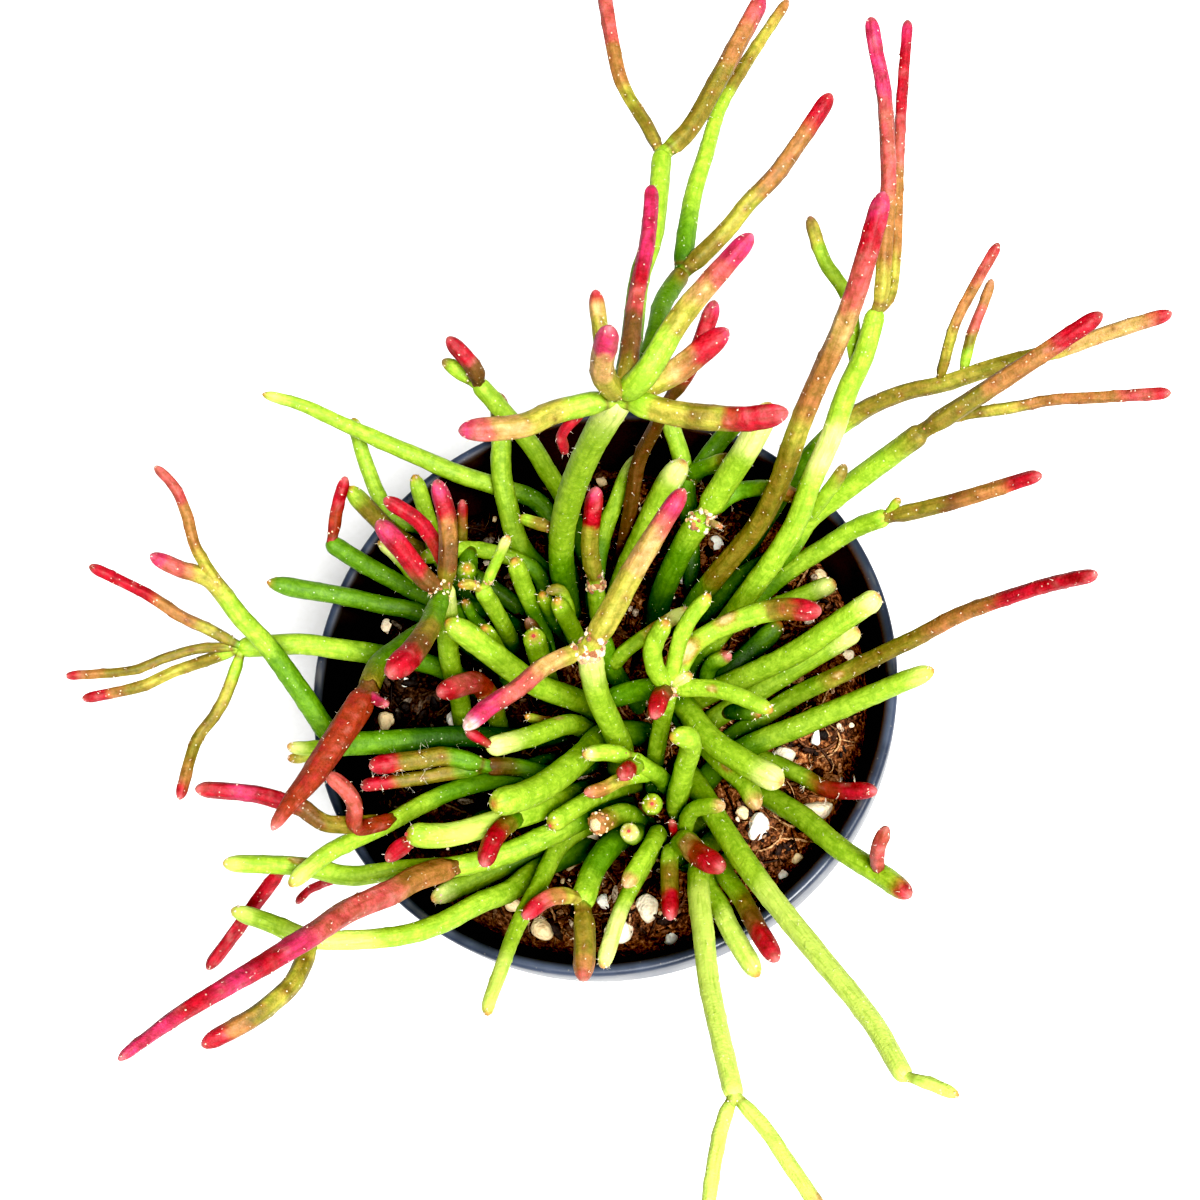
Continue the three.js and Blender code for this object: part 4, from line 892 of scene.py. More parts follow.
 raised<stem 3.8 2.6 gggggglllyysk -46,-7,107 -49.5,-1.5,113 -53,2.5,118 -56.5,7,123 -60.5,8,126
   -64.5,9.5,129
 back_end<raised@0.66 2 1.6 yyyaass -57.5,10.5,127 -58,14,130 -58.5,16.5,132 -59.5,19,134 -62,21.5,136
left_crimson
 stem 3.7 3.6 dddgggo -14,9 -19.5,11.5,84 -23.5,11,90 -27,5.5,98 -30,0.5,104 -32,-4.5,110 -32.5,-9.5,114
 crimson<stem 4.4 1.4 buuuuuuus/point -34,-15.5,118 -36,-21,121 -38,-26.5,124 -40,-31,127 -41.5,-35.5,130
 bud<stem 1.8 1.5 kk -30.5,-12,116 -28,-13.5,118
left_low_forked
 stem 3.7 2.7 ddggglllf -8,-11 -16.5,-16,84 -24,-20,91 -28.5,-23.5,95 -32,-27,99 -36,-30,102 -40,-33,105
   -43.5,-36.5,107 -45.5,-39,108
 curl<stem@0.62 2.7 2.5 buuusss -35.5,-29.5,106 -35,-27,110 -36,-25,113 -38.5,-23,115
 long_end<stem@0.64 2.8 2.6 oooobrrkrs -40,-29,107 -43.5,-27,109 -47,-26,111 -51.5,-25,112 -60,-24.5,114
 dark<stem@0.08 3.6 3.6 dddg -12.5,-19.5,81 -22,-25,86
left_frizzy
 stem 3.3 3.2 ddggb -1,-12.5 -6.5,-17.5,86 -12.5,-17,90 -16.5,-17.5,93
 upper_end<stem 3.2 3.1 gggooorr/frizzy -23,-16.5,97 -27.5,-17.5,99 -35,-19,102
 lower_end<stem 2.6 2.4 ggooorr/frizzy -24,-18.5,93 -28.5,-19.5,94 -38,-21,96
left_front_long
 stem 4.3 2.9 dggglllllllf 4.5,-19 -1.5,-22.5,84 -7.5,-27.5,90 -15,-32,94 -22.5,-34.5,97 -30.5,-35,98
   -38.5,-36,99 -46.5,-34.5,100 -59,-34,102
 crimson<stem@0.5 3.9 1.4 baassskrkrkk/point -26,-38,105 -28.5,-41,110 -33,-45,117 -36.5,-50,124
   -40.5,-54.5,130 -44,-58.5,136 -48,-62.5,141 -51.5,-66.5,145 -54.5,-70,148
 red_end<stem@0.88 2.4 2.2 rrrrr -55,-40,97 -58.5,-44.5,96 -63,-50,95
 small_end<stem@0.73 1.5 1.3 rr -46.5,-37,94 -49.5,-39,92
left_front_pale
 stem 3.9 4 gggllffl/red_dot -0.5,-17 -6.5,-24.5,90 -14,-29,99 -20.5,-32,105 -26,-32.5,109
 red_end<stem@0.5 3.1 3.1 ggorrr -12.5,-32,104 -13.5,-38,109
 tip_end<stem@0.95 2.9 2.8 rrr -28,-34,106 -30,-36,106
left_front_bow
 stem 4.4 2.8 ddgglllllfflf -2.5,-26.5 -10,-32,83 -14,-37,89 -18,-40,94 -23.5,-44,98 -29,-46.5,102
   -36,-47.5,105 -42,-47.5,107 -48.5,-45,108 -54.5,-43,109
 olive_end<stem@0.8 3 2.8 lyoyoyoarr -42.5,-54.5,112 -44.5,-58,115 -47.5,-61,117 -54,-65,119
 under_end<stem@0.05 3.8 3.5 dggllp -14.5,-30,80 -21,-34,84 -27.5,-38,88
front_left_dot
 stem 3 3.3 gglllllll/red_dot 3.5,-15.5 0,-19,84 -3.5,-23.5,92 -7.5,-28,97
front_left_pale
 stem 3.8 2.1 gglllllff -1,-22.5 -6,-28,86 -8,-36.5,94 -10,-44.5,101 -11,-51.5,107 -12,-58,112 -12,-60,113
front_left_forked
 stem 4.1 4 ggggl 8,-22 5,-27,86 2,-33,92 0.5,-39.5,96
 bent_end<stem 2.7 2.6 oyyasrr -1.5,-39,98 -5,-40,100 -8.5,-43.5,102
 down_end<stem 3.6 3.4 gooooau 1,-45.5,98 1,-53,100
 cut_end<stem@0.05 3.6 3.6 dgla/cut 6.5,-23,87 2.5,-26.5,94
 dot_end<stem@0.12 3.1 3.1 gglp/red_dot 7.5,-28,90 8,-29.5,99
front_thin_pair
 long 2.8 2.6 gglllpp 9.5,-27 9,-29.5,83 7,-34.5,86 4.5,-41,90 2,-51,94
 short<long@0.1 3.1 3.1 gglllllle 10,-28,87 9,-32.5,94 6,-39,99
front_red_pair
 down 3 2.9 gggggggloorr 13.5,-30 12,-29,85 12,-34.5,89 12.5,-42,93
 side<down@0.15 3.9 3.8 ggglleurr 16,-29.5,89 18.5,-33,95 23,-37,101
 red_tip<down@0.2 2.8 2.7 gglllle 15.5,-27,91 18.5,-27,96 22,-28,100
 bud<down@0.22 1.5 1.4 dr 13,-26.5,92
front_right_lime_pair
 upper 3.2 3.1 gggllllobrr 21,-29.5 19.5,-33.5,85 23.5,-40,92 26.5,-46,97 29.5,-51.5,101
 lower<upper@0.12 3.4 3.2 glllfff 17.5,-35,84 20,-40,88 22,-44.5,91 26.5,-52.5,94
front_forked
 stem 4.1 2.8 gglllffffff 18.5,-26 16,-31,86 16.5,-37.5,94 18.5,-47,102 20,-55.5,108 22,-63.5,114
   24.5,-73,120
 left_end<stem 2.2 2.1 ffff 23,-77,122 22,-82,124 21,-89,126
 right_end<stem 2.2 2.1 ffffe 29,-78,122 32,-82.5,124 36.5,-89,126
front_right_long
 stem 4.5 2.8 gggllllffffff 14.5,-15.5 16.5,-20.5,83 21,-29,92 26,-37.5,100 32.5,-47,108 38.5,-55.5,115
   44,-63.5,121 48,-71.5,127
 thin_end<stem 1.9 1.8 fff 52,-73,129 55,-74.5,130
"""


def read_shoots(table: str) -> dict[str, list[Stem]]:
    """Reads the table of joints.

    Args:
        table: Its text.

    Returns:
        The joints of each shoot, by the shoot's name.
    """
    shoots: dict[str, list[Stem]] = {}
    for row in table.strip().replace("\n   ", " ").splitlines():
        if not row.startswith(" "):
            stems = shoots[row] = []
            continue
        name, foot, tip, tones, *places = row.split()
        name, _, on = name.partition("<")
        on, _, share = on.partition("@")
        tones, _, kind = tones.partition("/")
        route = tuple((*map(float, place.split(",")), MIX_LEVEL)[:3] for place in places)
        stems.append(Stem(name, on, float(share or 1), (float(foot), float(tip)), tones,
                          Tip[(kind or "wool").upper()], route))
    return shoots


SHOOTS = read_shoots(JOINTS)

# Joints whose forks are wrapped in wool and dry scales, and the width of the largest scale.
WOOLLY_FORKS = {
    "middle_pink_fork/pillar": 2.3,
    "left_pillar/pillar": 0.8,
    "back_finger_pair/lime": 1.5,
    "left_inner_fork/stem": 0.7,
    "middle_fork/foot": 1.0,
    "back_right_jointed/foot": 1.3,
}

# Corky scars: the joint, how far along it, how far round it from its upper side in degrees, and the length.
SCARS = (
    ("middle_fork/right_arm", 0.26, 10.0, 4.6),
    ("middle_fork/right_arm", 0.5, -20.0, 3.4),
    ("middle_fork/long_end", 0.45, 15.0, 1.7),
    ("left_front_long/stem", 0.86, 30.0, 2.6),
    ("left_front_long/stem", 0.58, -20.0, 2.2),
    ("right_long/stem", 0.42, 20.0, 2.2),
    ("middle_pale/stem", 0.6, 25.0, 2.0),
    ("front_right_pair/lower", 0.7, 0.0, 2.8),
)


@dataclass
class Line:
    """A joint's path through space, with a point every few millimetres."""

    shoot: str
    stem: Stem
    parent: "Line | None"
    fork_at: int
    surface_at: int
    path: Array
    carries_tip: bool = False

    @property
    def key(self) -> str:
        """Name of the joint with its shoot's."""
        return f"{self.shoot}/{self.stem.name}"

    @property
    def flushed(self) -> bool:
        """Whether the joint's end is reddened."""
        return self.stem.tones[-1] in FLUSHED

    @property
    def radii(self) -> Array:
        """Half width at each point of the path."""
        return np.linspace(*self.stem.wide, len(self.path)) / 2


def curve_through(points: Array, splits: int) -> Array:
    """A smooth curve through points, a uniform Catmull-Rom spline.

    Args:
        points: The points, one a row.
        splits: Number of straight steps between two of them.

    Returns:
        The curve's points, one a row.
    """
    longer = np.vstack([2 * points[0] - points[1], points, 2 * points[-1] - points[-2]])
    before, start, stop, after = (longer[i : len(points) - 1 + i] for i in range(4))
    t = (np.arange(splits) / splits)[:, None]
    bent = (
        (2 * t**3 - 3 * t**2 + 1) * start[:, None]
        + (t**3 - 2 * t**2 + t) * (stop - before)[:, None] / 2
        + (3 * t**2 - 2 * t**3) * stop[:, None]
        + (t**3 - t**2) * (after - start)[:, None] / 2
    )
    return np.vstack([bent.reshape(-1, 3), points[-1]])


def measure(points: Array) -> Array:
    """Length along a path at each of its points, from its start."""
    return np.concatenate([[0], np.cumsum(np.linalg.norm(np.diff(points, axis=0), axis=1))])


def points_at(points: Array, lengths: Array) -> Array:
    """Places on a path at lengths from its start, one a row."""
    along = measure(points)
    return np.stack([np.interp(lengths, along, points[:, axis]) for axis in range(3)], -1)


@dataclass(frozen=True)
class Growth:
    """Lays out the joints' paths as the CAD model does, where stems press each other aside.

    Its numbers are the CAD source's own.
    """

    buried: float = 10.0  # depth of each foot
    step: float = 2.0  # spacing of a path's points
    splits: int = 12
    gap: float = 0.65  # left between two stems
    reach: float = 8.5  # stretches nearer than this are watched
    joint_free: float = 8.0  # two joints of one shoot may touch this near to their fork
    batch: int = 400  # points that are compared at a time
    rounds: int = 150
    look_again: int = 15  # rounds between two searches for neighbours
    haste: float = 1.3
    at_tip: float = 0.4  # how much of its neighbour's shift a joint's tip takes on

    def trace(self, shoot: str, stems: list[Stem]) -> list[Line]:
        """Turns a shoot's joints into paths. A joint starts on the path of the one that carries it.

        Args:
            shoot: Name of the shoot.
            stems: Its joints, each after the one that carries it.

        Returns:
            The joints' lines.
        """
        grown: dict[str, Line] = {}
        for joint in stems:
            parent = grown.get(joint.on)
            route = np.array(joint.route, float)
            fork_at = 0
            if parent is None:
                first = route[0] - (0, 0, self.buried)
            else:
                left = len(parent.path) - 1 - parent.surface_at
                fork_at = math.floor(parent.surface_at + joint.share * left + 0.5)
                first = parent.path[fork_at]
                parent.carries_tip |= joint.share == 1
            curve = curve_through(np.vstack([first, route]), self.splits)
            total = measure(curve)[-1]
            count = max(2, math.floor(total / self.step + 0.5))
            path = points_at(curve, np.linspace(0, total, count + 1))
            surface_at = 0 if parent else int(np.argmin(np.abs(path[:, 2] - MIX_LEVEL)))
            grown[joint.name] = Line(shoot, joint, parent, fork_at, surface_at, path)
        return list(grown.values())

    def neighbours(self, places: Array, owner: Array, shoots: Array, joints: Array) -> Array:
        """Finds the points of different stems that lie near each other.

        Args:
            places: All points.
            owner: Number of each point's line.
            shoots: Number of each point's shoot.
            joints: Number of the first point of each point's line, or -1 on a rooted one.

        Returns:
            Pairs of numbers of points, one a row.
        """
        found = []
        for start in range(0, len(places), self.batch):
            apart = np.linalg.norm(places[start : start + self.batch, None] - places, axis=2)
            one, other = np.nonzero(apart < self.reach)
            one += start
            found.append(np.stack([one, other], -1)[(one < other) & (owner[one] != owner[other])])
        pairs = np.concatenate(found)
        same_shoot = shoots[pairs[:, 0]] == shoots[pairs[:, 1]]
        at_joint = np.zeros(len(pairs), bool)
        for whose, which in itertools.product(range(2), repeat=2):
            joint = joints[pairs[:, whose]]
            near = np.linalg.norm(places[pairs[:, which]] - places[joint], axis=1) < self.joint_free
            at_joint |= near & (joint >= 0)
        return pairs[~(same_shoot & at_joint)]

    def bend_clear(self, lines: list[Line]) -> None:
        """Lets each stem yield sideways, smoothly along its length, until it clears the others.

        Args:
            lines: All stems, whose paths are changed.
        """
        starts = np.cumsum([0] + [len(line.path) for line in lines])
        number = {id(line): i for i, line in enumerate(lines)}
        owner = np.repeat(np.arange(len(lines)), np.diff(starts))
        shoots = np.unique([line.shoot for line in lines], return_inverse=True)[1][owner]
        joints = np.array([starts[i] if line.parent else -1 for i, line in enumerate(lines)])[owner]
        forks = [starts[number[id(line.parent)]] + line.fork_at if line.parent else -1 for line in lines]
        home = np.concatenate([line.path for line in lines])
        radii = np.concatenate([line.radii for line in lines])
        held = np.concatenate([
            np.arange(len(line.path)) <= (line.surface_at if line.parent is None else -1) for line in lines
        ])
        place = home.copy()
        for turn in range(self.rounds):
            if turn % self.look_again == 0:
                pairs = self.neighbours(place, owner, shoots, joints)
                one, other = pairs.T
                room = radii[one] + radii[other] + self.gap
            away = place[one] - place[other]
            apart = np.linalg.norm(away, axis=1)
            short = room > apart
            shove = away[short] * (0.5 * (room - apart)[short] / np.maximum(apart[short], 1e-6))[:, None]
            push = np.zeros_like(place)
            np.add.at(push, one[short], shove)
            np.subtract.at(push, other[short], shove)
            pushes = np.bincount(np.concatenate([one[short], other[short]]), minlength=len(place))
            shift = place - home + push * (self.haste / np.maximum(pushes, 1))[:, None]
            for _ in range(2):
                self.smooth(shift, starts, forks)
            shift[held, 2] = 0
            place = home + shift
        for line, start in zip(lines, starts):
            line.path = place[start : start + len(line.path)]

    def smooth(self, shift: Array, starts: Array, forks: list[int]) -> None:
        """Spreads each point's shift to its neighbours on the stem.

        Args:
            shift: Shift of every point, which is changed.
            starts: Number of each line's first point, and the number of points.
            forks: Number of the point that carries each line, or -1 on a rooted one.
        """
        for start, end, fork in zip(starts, starts[1:], forks):
            own = shift[start:end]
            if fork >= 0:
                own[0] = shift[fork]
            eased = own.copy()
            eased[1:-1] = own[1:-1] / 2 + (own[:-2] + own[2:]) / 4
            eased[-1] = own[-1] + self.at_tip * (own[-2] - own[-1])
            if fork < 0:
                eased[0] = (own[0] + own[1]) / 2
            shift[start:end] = eased


SKIN, WOOL, BRISTLE = range(3)  # finishes of a shoot
STEEPEST = 3  # slope of a joint's end by which what grows on it leans at most


@dataclass
class Skin:
    """The surface of one joint: rings of corners square to its path, and its areoles."""

    line: Line
    centres: Array
    across: Array
    aside: Array
    heading: Array
    along: Array  # length from the joint's start at each ring
    reach: Array  # half width at each corner, a row for each ring
    ribs: Array  # 1 on a rib and -1 in a groove, for each corner
    spots: Array  # length from the joint's start of each areole
    angles: Array  # angle round the joint of each areole

    def at(self, along: Array, turn: Array) -> tuple[Array, Array]:
        """Finds places on the surface.

        Args:
            along: Length from the joint's start, for each place.
            turn: Angle round the joint, for each place.

        Returns:
            The places, and the outward directions there.
        """
        def between(values: Array) -> Array:
            """The rings' values, one a row, at those lengths."""
            return np.stack([np.interp(along, self.along, column) for column in values.T], -1)

        sides = self.reach.shape[1]
        cos, sin = np.cos(turn)[:, None], np.sin(turn)[:, None]
        normal = cos * unit(between(self.across)) + sin * unit(between(self.aside))
        corner = np.rint(turn / math.tau * sides).astype(int) % sides
        reach = between(self.reach)[np.arange(len(along)), corner]
        apart = self.along + 1e-6 * np.arange(len(self.along))  # no two rings at one length
        slope = np.gradient(self.reach.mean(axis=1), apart)
        lean = np.clip(np.interp(along, self.along, slope), -STEEPEST, STEEPEST)
        outward = unit(normal - lean[:, None] * unit(between(self.heading)))
        return between(self.centres) + reach[:, None] * normal, outward

    def corners(self) -> Array:
        """Works out all corners of the rings.

        Returns:
            The corners, ring by ring.
        """
        turns = circle(self.reach.shape[1])[:, None]
        spread = np.cos(turns) * self.across[:, None] + np.sin(turns) * self.aside[:, None]
        return (self.centres[:, None] + self.reach[:, :, None] * spread).reshape(-1, 3)


@dataclass
class CactusClump:
    """All shoots of the plant. A joint is a faintly ribbed rod with a waist, areoles and a rounded end."""

    sides: int = 20
    ring_step: float = 0.66
    buried_step: float = 2.5  # of the rings that the mix hides
    path_splits: int = 6  # between two points of a path
    tip_rings: int = 7  # of a rounded end
    last_ring: float = 0.93  # where the last one stands on the end's quarter turn
    longest_end: float = 0.6  # share of a joint that its rounded end may take up
    fork_reach: float = 0.55  # how far, in radii, a joint goes on past its fork
    foot_reach: float = 0.3
    waist: float = 0.76  # width of a joint where it leaves another, as a share of its own
    waist_length: float = 2.4
    bulge: float = 2.6  # how late the joints that narrow the most do so
    swell: float = 0.035  # how much its width varies along it
    swell_length: float = 6.5
    rib_count: int = 5
    rib_wind: float = 30.0  # length in which they wind by a radian
    rib: float = 0.014  # their height as a share of the radius
    dry_rib: float = 0.07  # how much higher they are on flushed joints, which hold less water
    oval: float = 0.018
    lump: float = 0.05  # height of the smallest unevenness
    lump_width: float = 1.3
    foot_gap: float = 0.8  # bare skin below a joint's first areole
    mound: float = 0.1  # height of the cushion under an areole
    mound_width: float = 0.55
    areole_pitch: float = 1.35  # rise of each areole in their spiral
    areole_width: float = 0.14
    flushed_width: float = 0.13  # how much wider they look on flushed skin
    bare: float = 0.45  # share of those on green skin that have lost their wool
    tuft_rings: tuple[Pair, ...] = ((1.0, -0.35), (0.72, 0.42))  # reach and height, in half widths
    tuft_top: float = 0.68
    bristle_width: float = 0.06
    bristle_lean: float = 0.55  # how far bristles lean any way from straight out
    fork_scales: int = 30  # in a fork, for each millimetre of the largest one's width
    collar_scales: tuple[int, int] = (4, 14)  # round a foot, in a bare fork and in a woolly one
    collar_width: float = 0.35
    border: float = 0.9  # how far the borders between tones wander
    border_bends: Pair = (1.5, 4.5)  # width of the small and the large bends of those borders
    apex_width: float = 1.0  # of the young tissue at a joint's tip
    streak_draw: float = 0.14  # the less, the longer are the streaks that run along a joint
    blush: float = 0.45  # how strongly the flushed skin is blotched
    blotch: float = 1.2  # width of the blotches
    rim_width: float = 0.5  # of the dark rim of an areole on flushed skin
    groove_shade_strength: float = 0.35  # how much browner flushed skin is painted between its ribs, as painted shade in the grooves
    shaded_by: float = 27.0  # height over the mix where the painted shade of the stem bases ends
    shade: float = 0.37  # how much of the colour the painted shade leaves at the mix
    wool: Hex = "#f3ead6"
    young: Hex = "#c4603c"
    # Whitish wax bloom, which on red skin is partly painted highlight.
    bloom: Hex = "#e4a8ac"
    blotches: Hex = "#a01c34"
    areole_rim: Hex = "#7c2a1c"
    # Painted shade in the grooves between the ribs of flushed skin.
    groove_shade: Hex = "#7a4420"
    growing_point: Hex = "#b0403c"
    collar: Hex = "#6e4424"
    cork: Hex = "#dcb48c"
    scar_rim: Hex = "#b07038"
    heartwood: Hex = "#e6c096"
    crust: tuple[Hex, ...] = ("#eadcc0", "#e0c8a0", "#d2a878", "#b47c54", "#986444")
    growth: Growth = Growth()
    draft: MeshDraft = field(default_factory=MeshDraft)  # mesh of the shoot in hand
    rng: Random = np.random.default_rng(SEED)  # that shoot's random numbers

    def build(self) -> list[Piece]:
        """Grows all shoots.

        Returns:
            One object for each shoot.
        """
        lines = [line for shoot, stems in SHOOTS.items() for line in self.growth.trace(shoot, stems)]
        self.growth.bend_clear(lines)
        materials = [WaxyCuticle().make(), AreoleFelt().make(), HornyBristle().make()]
        made = []
        for number, shoot in enumerate(SHOOTS):
            self.draft = MeshDraft()
            self.rng = np.random.default_rng([SEED, number])
            for line in lines:
                if line.shoot == shoot:
                    self.add_joint(line)
            piece = self.draft.make(f"{shoot}_shoot", materials)
            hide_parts(shoot)
            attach(piece, BODY)
            made.append(piece)
        return made

    def stations(self, line: Line, length: float, cap: float) -> Array:
        """Places the rings of a joint's body, closer together where they show.

        Args:
            line: The joint's line.
            length: Length of the joint.
            cap: Length of its rounded end.

        Returns:
            Length from the joint's start of each ring before the rounded end.
        """
        hidden = 0.0 if line.parent else measure(line.path)[line.surface_at] - 2 * self.buried_step
        body = max(length - cap - hidden, self.ring_step)
        low = np.linspace(0, hidden, round(hidden / self.buried_step), endpoint=False)
        shown = hidden + np.linspace(0, body, max(2, round(body / self.ring_step)), endpoint=False)
        return np.concatenate([low, shown])

    def shape(self, line: Line) -> Skin:
        """Shapes the surface of one joint and places its areoles.

        Args:
            line: The joint's line.

        Returns:
            The surface.
        """
        radii = line.radii
        curve = curve_through(line.path, self.path_splits)
        tip_out = self.fork_reach * radii[-1] if line.carries_tip else 0.0
        foot_out = self.foot_reach * radii[0] if line.parent else 0.0
        curve[0] -= foot_out * unit(curve[1] - curve[0])
        curve[-1] += tip_out * unit(curve[-1] - curve[-2])
        length = measure(curve)[-1]
        depth, power = FORK_END if line.carries_tip else line.stem.tip.value
        cap = min(depth * radii[-1], self.longest_end * length)
        body = self.stations(line, length, cap)
        rise = np.linspace(0, self.last_ring, self.tip_rings) * math.pi / 2
        along = np.concatenate([body, length - cap * (1 - np.sin(rise) ** (2 / power))])
        taper = np.concatenate([np.ones(len(body)), np.cos(rise) ** (2 / power)])

        centres = points_at(curve, along)
        heading = unit(np.gradient(centres, axis=0))
        across = np.empty_like(heading)
        side = unit(np.cross(heading[0], (0.3, 0.9, 0.2)))  # no joint starts in that direction
        for i, forward in enumerate(heading):
            side = unit(side - forward * (side @ forward))
            across[i] = side

        phase = self.rng.uniform(0, math.tau, 3)
        bulge = self.bulge if radii[0] > 2 * radii[-1] else 1.0
        half = (radii[0] + (radii[-1] - radii[0]) * np.clip(along / length, 0, 1) ** bulge) * taper
        marks = along[:, None] * (1, 0, 0) + (0, 40 * phase[0], 0)
        half = half * (1 + self.swell * value_noise(marks, self.swell_length))
        if line.parent:
            surface = line.parent.radii[line.fork_at] + foot_out
            opening = smoothstep(along - 0.85 * surface, 0, self.waist_length)
            half = half * (self.waist + (1 - self.waist) * opening)
        turns = circle(self.sides) + along[:, None] / self.rib_wind
        flushed = sum(letter in FLUSHED for letter in line.stem.tones)
        rib = self.rib + self.dry_rib * flushed / len(line.stem.tones)
        ribs = np.cos(self.rib_count * turns + phase[1])
        reach = half[:, None] * (1 + rib * ribs + self.oval * np.cos(2 * turns + phase[2]))

        first = self.first_areole(line)
        count = max(0, int((length - 0.7 * cap - first) / self.areole_pitch))
        spots = first + (np.arange(count) + self.rng.uniform(0.2, 0.8, count)) * self.areole_pitch
        angles = np.arange(count) * GOLDEN_ANGLE + phase[0] + self.rng.normal(0, 0.12, count)
        skin = Skin(line, centres, across, np.cross(heading, across), heading, along, reach, ribs, spots,
                    angles % math.tau)
        corners = skin.corners()
        lumps = self.lump * value_noise(corners, self.lump_width, 3).reshape(reach.shape)
        if count:
            apart = np.linalg.norm(corners[:, None] - skin.at(spots, skin.angles)[0], axis=2)
            mounds = np.exp(-((apart / self.mound_width) ** 2)).sum(axis=1)
            lumps += self.mound * mounds.reshape(reach.shape)
        skin.reach = reach + lumps * np.minimum(1, taper * 1.2)[:, None]
        return skin

    def first_areole(self, line: Line) -> float:
        """Length along a joint where its areoles begin."""
        if line.parent is None:
            return float(measure(line.path)[line.surface_at]) + 1
        return line.parent.radii[line.fork_at] + self.foot_reach * line.radii[0] + self.foot_gap

    def tint(self, line: Line, shares: Array, places: Array) -> Array:
        """Colours places on a joint, darkened towards the mix as painted shade. The borders between its
        tones wander.

        Args:
            line: The joint's line.
            shares: How far along the joint each place is.
            places: The places.

        Returns:
            Linear colour of each place.
        """
        tones = np.array([TONES[letter] for letter in line.stem.tones])
        small, large = self.border_bends
        wander = value_noise(places, small, 1) + 1.4 * value_noise(places, large, 2)
        shares = shares + self.border * wander / measure(line.path)[-1]
        spot = np.clip(shares, 0, 1) * (len(tones) - 1)
        spot = np.floor(spot) + smoothstep(spot % 1, 0.15, 0.85)
        mixed = np.stack([np.interp(spot, np.arange(len(tones)), tone) for tone in tones.T], -1)
        # Painted shade of the stem bases: the colour darkens towards the mix.
        lit = smoothstep(places[:, 2] - MIX_LEVEL, -4, self.shaded_by)
        return mixed * (self.shade + (1 - self.shade) * lit)[:, None]

    def dress_skin(self, skin: Skin, points: Array, along: Array, turn: Array, tint: Array) -> None:
        """Colours a joint's blotches and whitish bloom, which is partly painted highlight, the painted
        shade in the grooves between its ribs, the rims of its areoles, the ring at its foot, its tip and
        scars.

        Args:
            skin: The joint's surface.
            points: The corners.
            along: Length from the joint's start, for each corner.
            turn: Angle of each corner.
            tint: Colour of each corner, which is changed.
        """
        def blend(share: Array, colour: Hex) -> None:
            """Mixes a share of a colour into each corner's."""
            tint[:] += share[:, None] * (palette((colour,)) - tint)

        line, length = skin.line, skin.along[-1]
        warm = smoothstep(tint[:, 0] - tint[:, 1], -0.05, 0.1)
        blotches = value_noise(points, self.blotch, 9)
        red = smoothstep(tint[:, 0] - 2 * tint[:, 1], 0, 0.15)
        blend(self.blush * red * smoothstep(blotches, 0.0, 0.7), self.blotches)
        # Whitish wax bloom blotches on red skin, partly painted highlight.
        blend(0.5 * self.blush * red * smoothstep(-blotches, 0.3, 0.9), self.bloom)
        # Painted shade: flushed skin darkens to brown in the grooves between its ribs.
        groove_shade = np.concatenate([[0], (1 - skin.ribs.ravel()) / 2, [0]])
        blend(self.groove_shade_strength * warm * (1 - red) * groove_shade, self.groove_shade)
        if len(skin.spots):
            areoles, _ = skin.at(skin.spots, skin.angles)
            apart = np.linalg.norm(points[:, None] - areoles, axis=2).min(axis=1)
            blend((0.7 - 0.4 * red) * warm * np.exp(-((apart / self.rim_width) ** 2)), self.areole_rim)
        if line.parent:
            ring = self.first_areole(line) - self.foot_gap
            blend(0.7 * np.exp(-(((along - ring) / self.collar_width) ** 2)), self.collar)
        if not line.carries_tip:
            reach = np.concatenate([[9.0], skin.reach.ravel(), [0.0]])  # neither end point has a ring
            tip = np.exp(-((np.hypot(length - along, reach) / self.apex_width) ** 2))
            blend((0.35 if line.flushed else 0.8) * tip, self.bloom if line.flushed else self.young)
        for key, share, turn_from_top, long in SCARS:
            if key == line.key:
                ring = int(np.argmin(np.abs(skin.along - share * length)))
                middle = math.atan2(skin.aside[ring, 2], skin.across[ring, 2]) + math.radians(turn_from_top)
                round_it = (turn - middle + math.pi) % math.tau - math.pi
                wide = np.hypot(along - skin.along[ring], round_it * line.radii[0] / 0.6) * 2 / long
                blend(0.75 * np.exp(-(((wide - 1) / 0.3) ** 2)), self.scar_rim)
                blend(0.85 * smoothstep(1 - wide, 0, 0.35), self.cork)

    def add_joint(self, line: Line) -> None:
        """Adds one joint with its areoles.

        Args:
            line: The joint's line.
        """
        skin = self.shape(line)
        rings, sides = skin.reach.shape
        length = skin.along[-1]
        ends = skin.centres[[0, -1]]
        ends[1] += skin.heading[-1] * 0.35 * skin.reach[-1].mean()
        points = np.vstack([ends[0], skin.corners(), ends[1]])
        along = np.concatenate([[0], np.repeat(skin.along, sides), [length]])
        tint = self.tint(line, along / length, points)
        turn = np.concatenate([[0], np.tile(circle(sides), rings), [0]])
        self.dress_skin(skin, points, along, turn, tint)
        thick = line.radii[0]
        wrap = np.stack([np.cos(turn) * thick, np.sin(turn) * thick, self.streak_draw * along], -1)
        wrap += self.rng.uniform(-50, 50, 3)
        self.draft.add(points, tube_faces(rings, sides), tint, SKIN, wrap)
        self.add_areoles(skin)
        if line.carries_tip:
            self.add_crust(skin)
        else:
            self.add_end(skin)
        if line.parent:
            self.add_collar(skin)

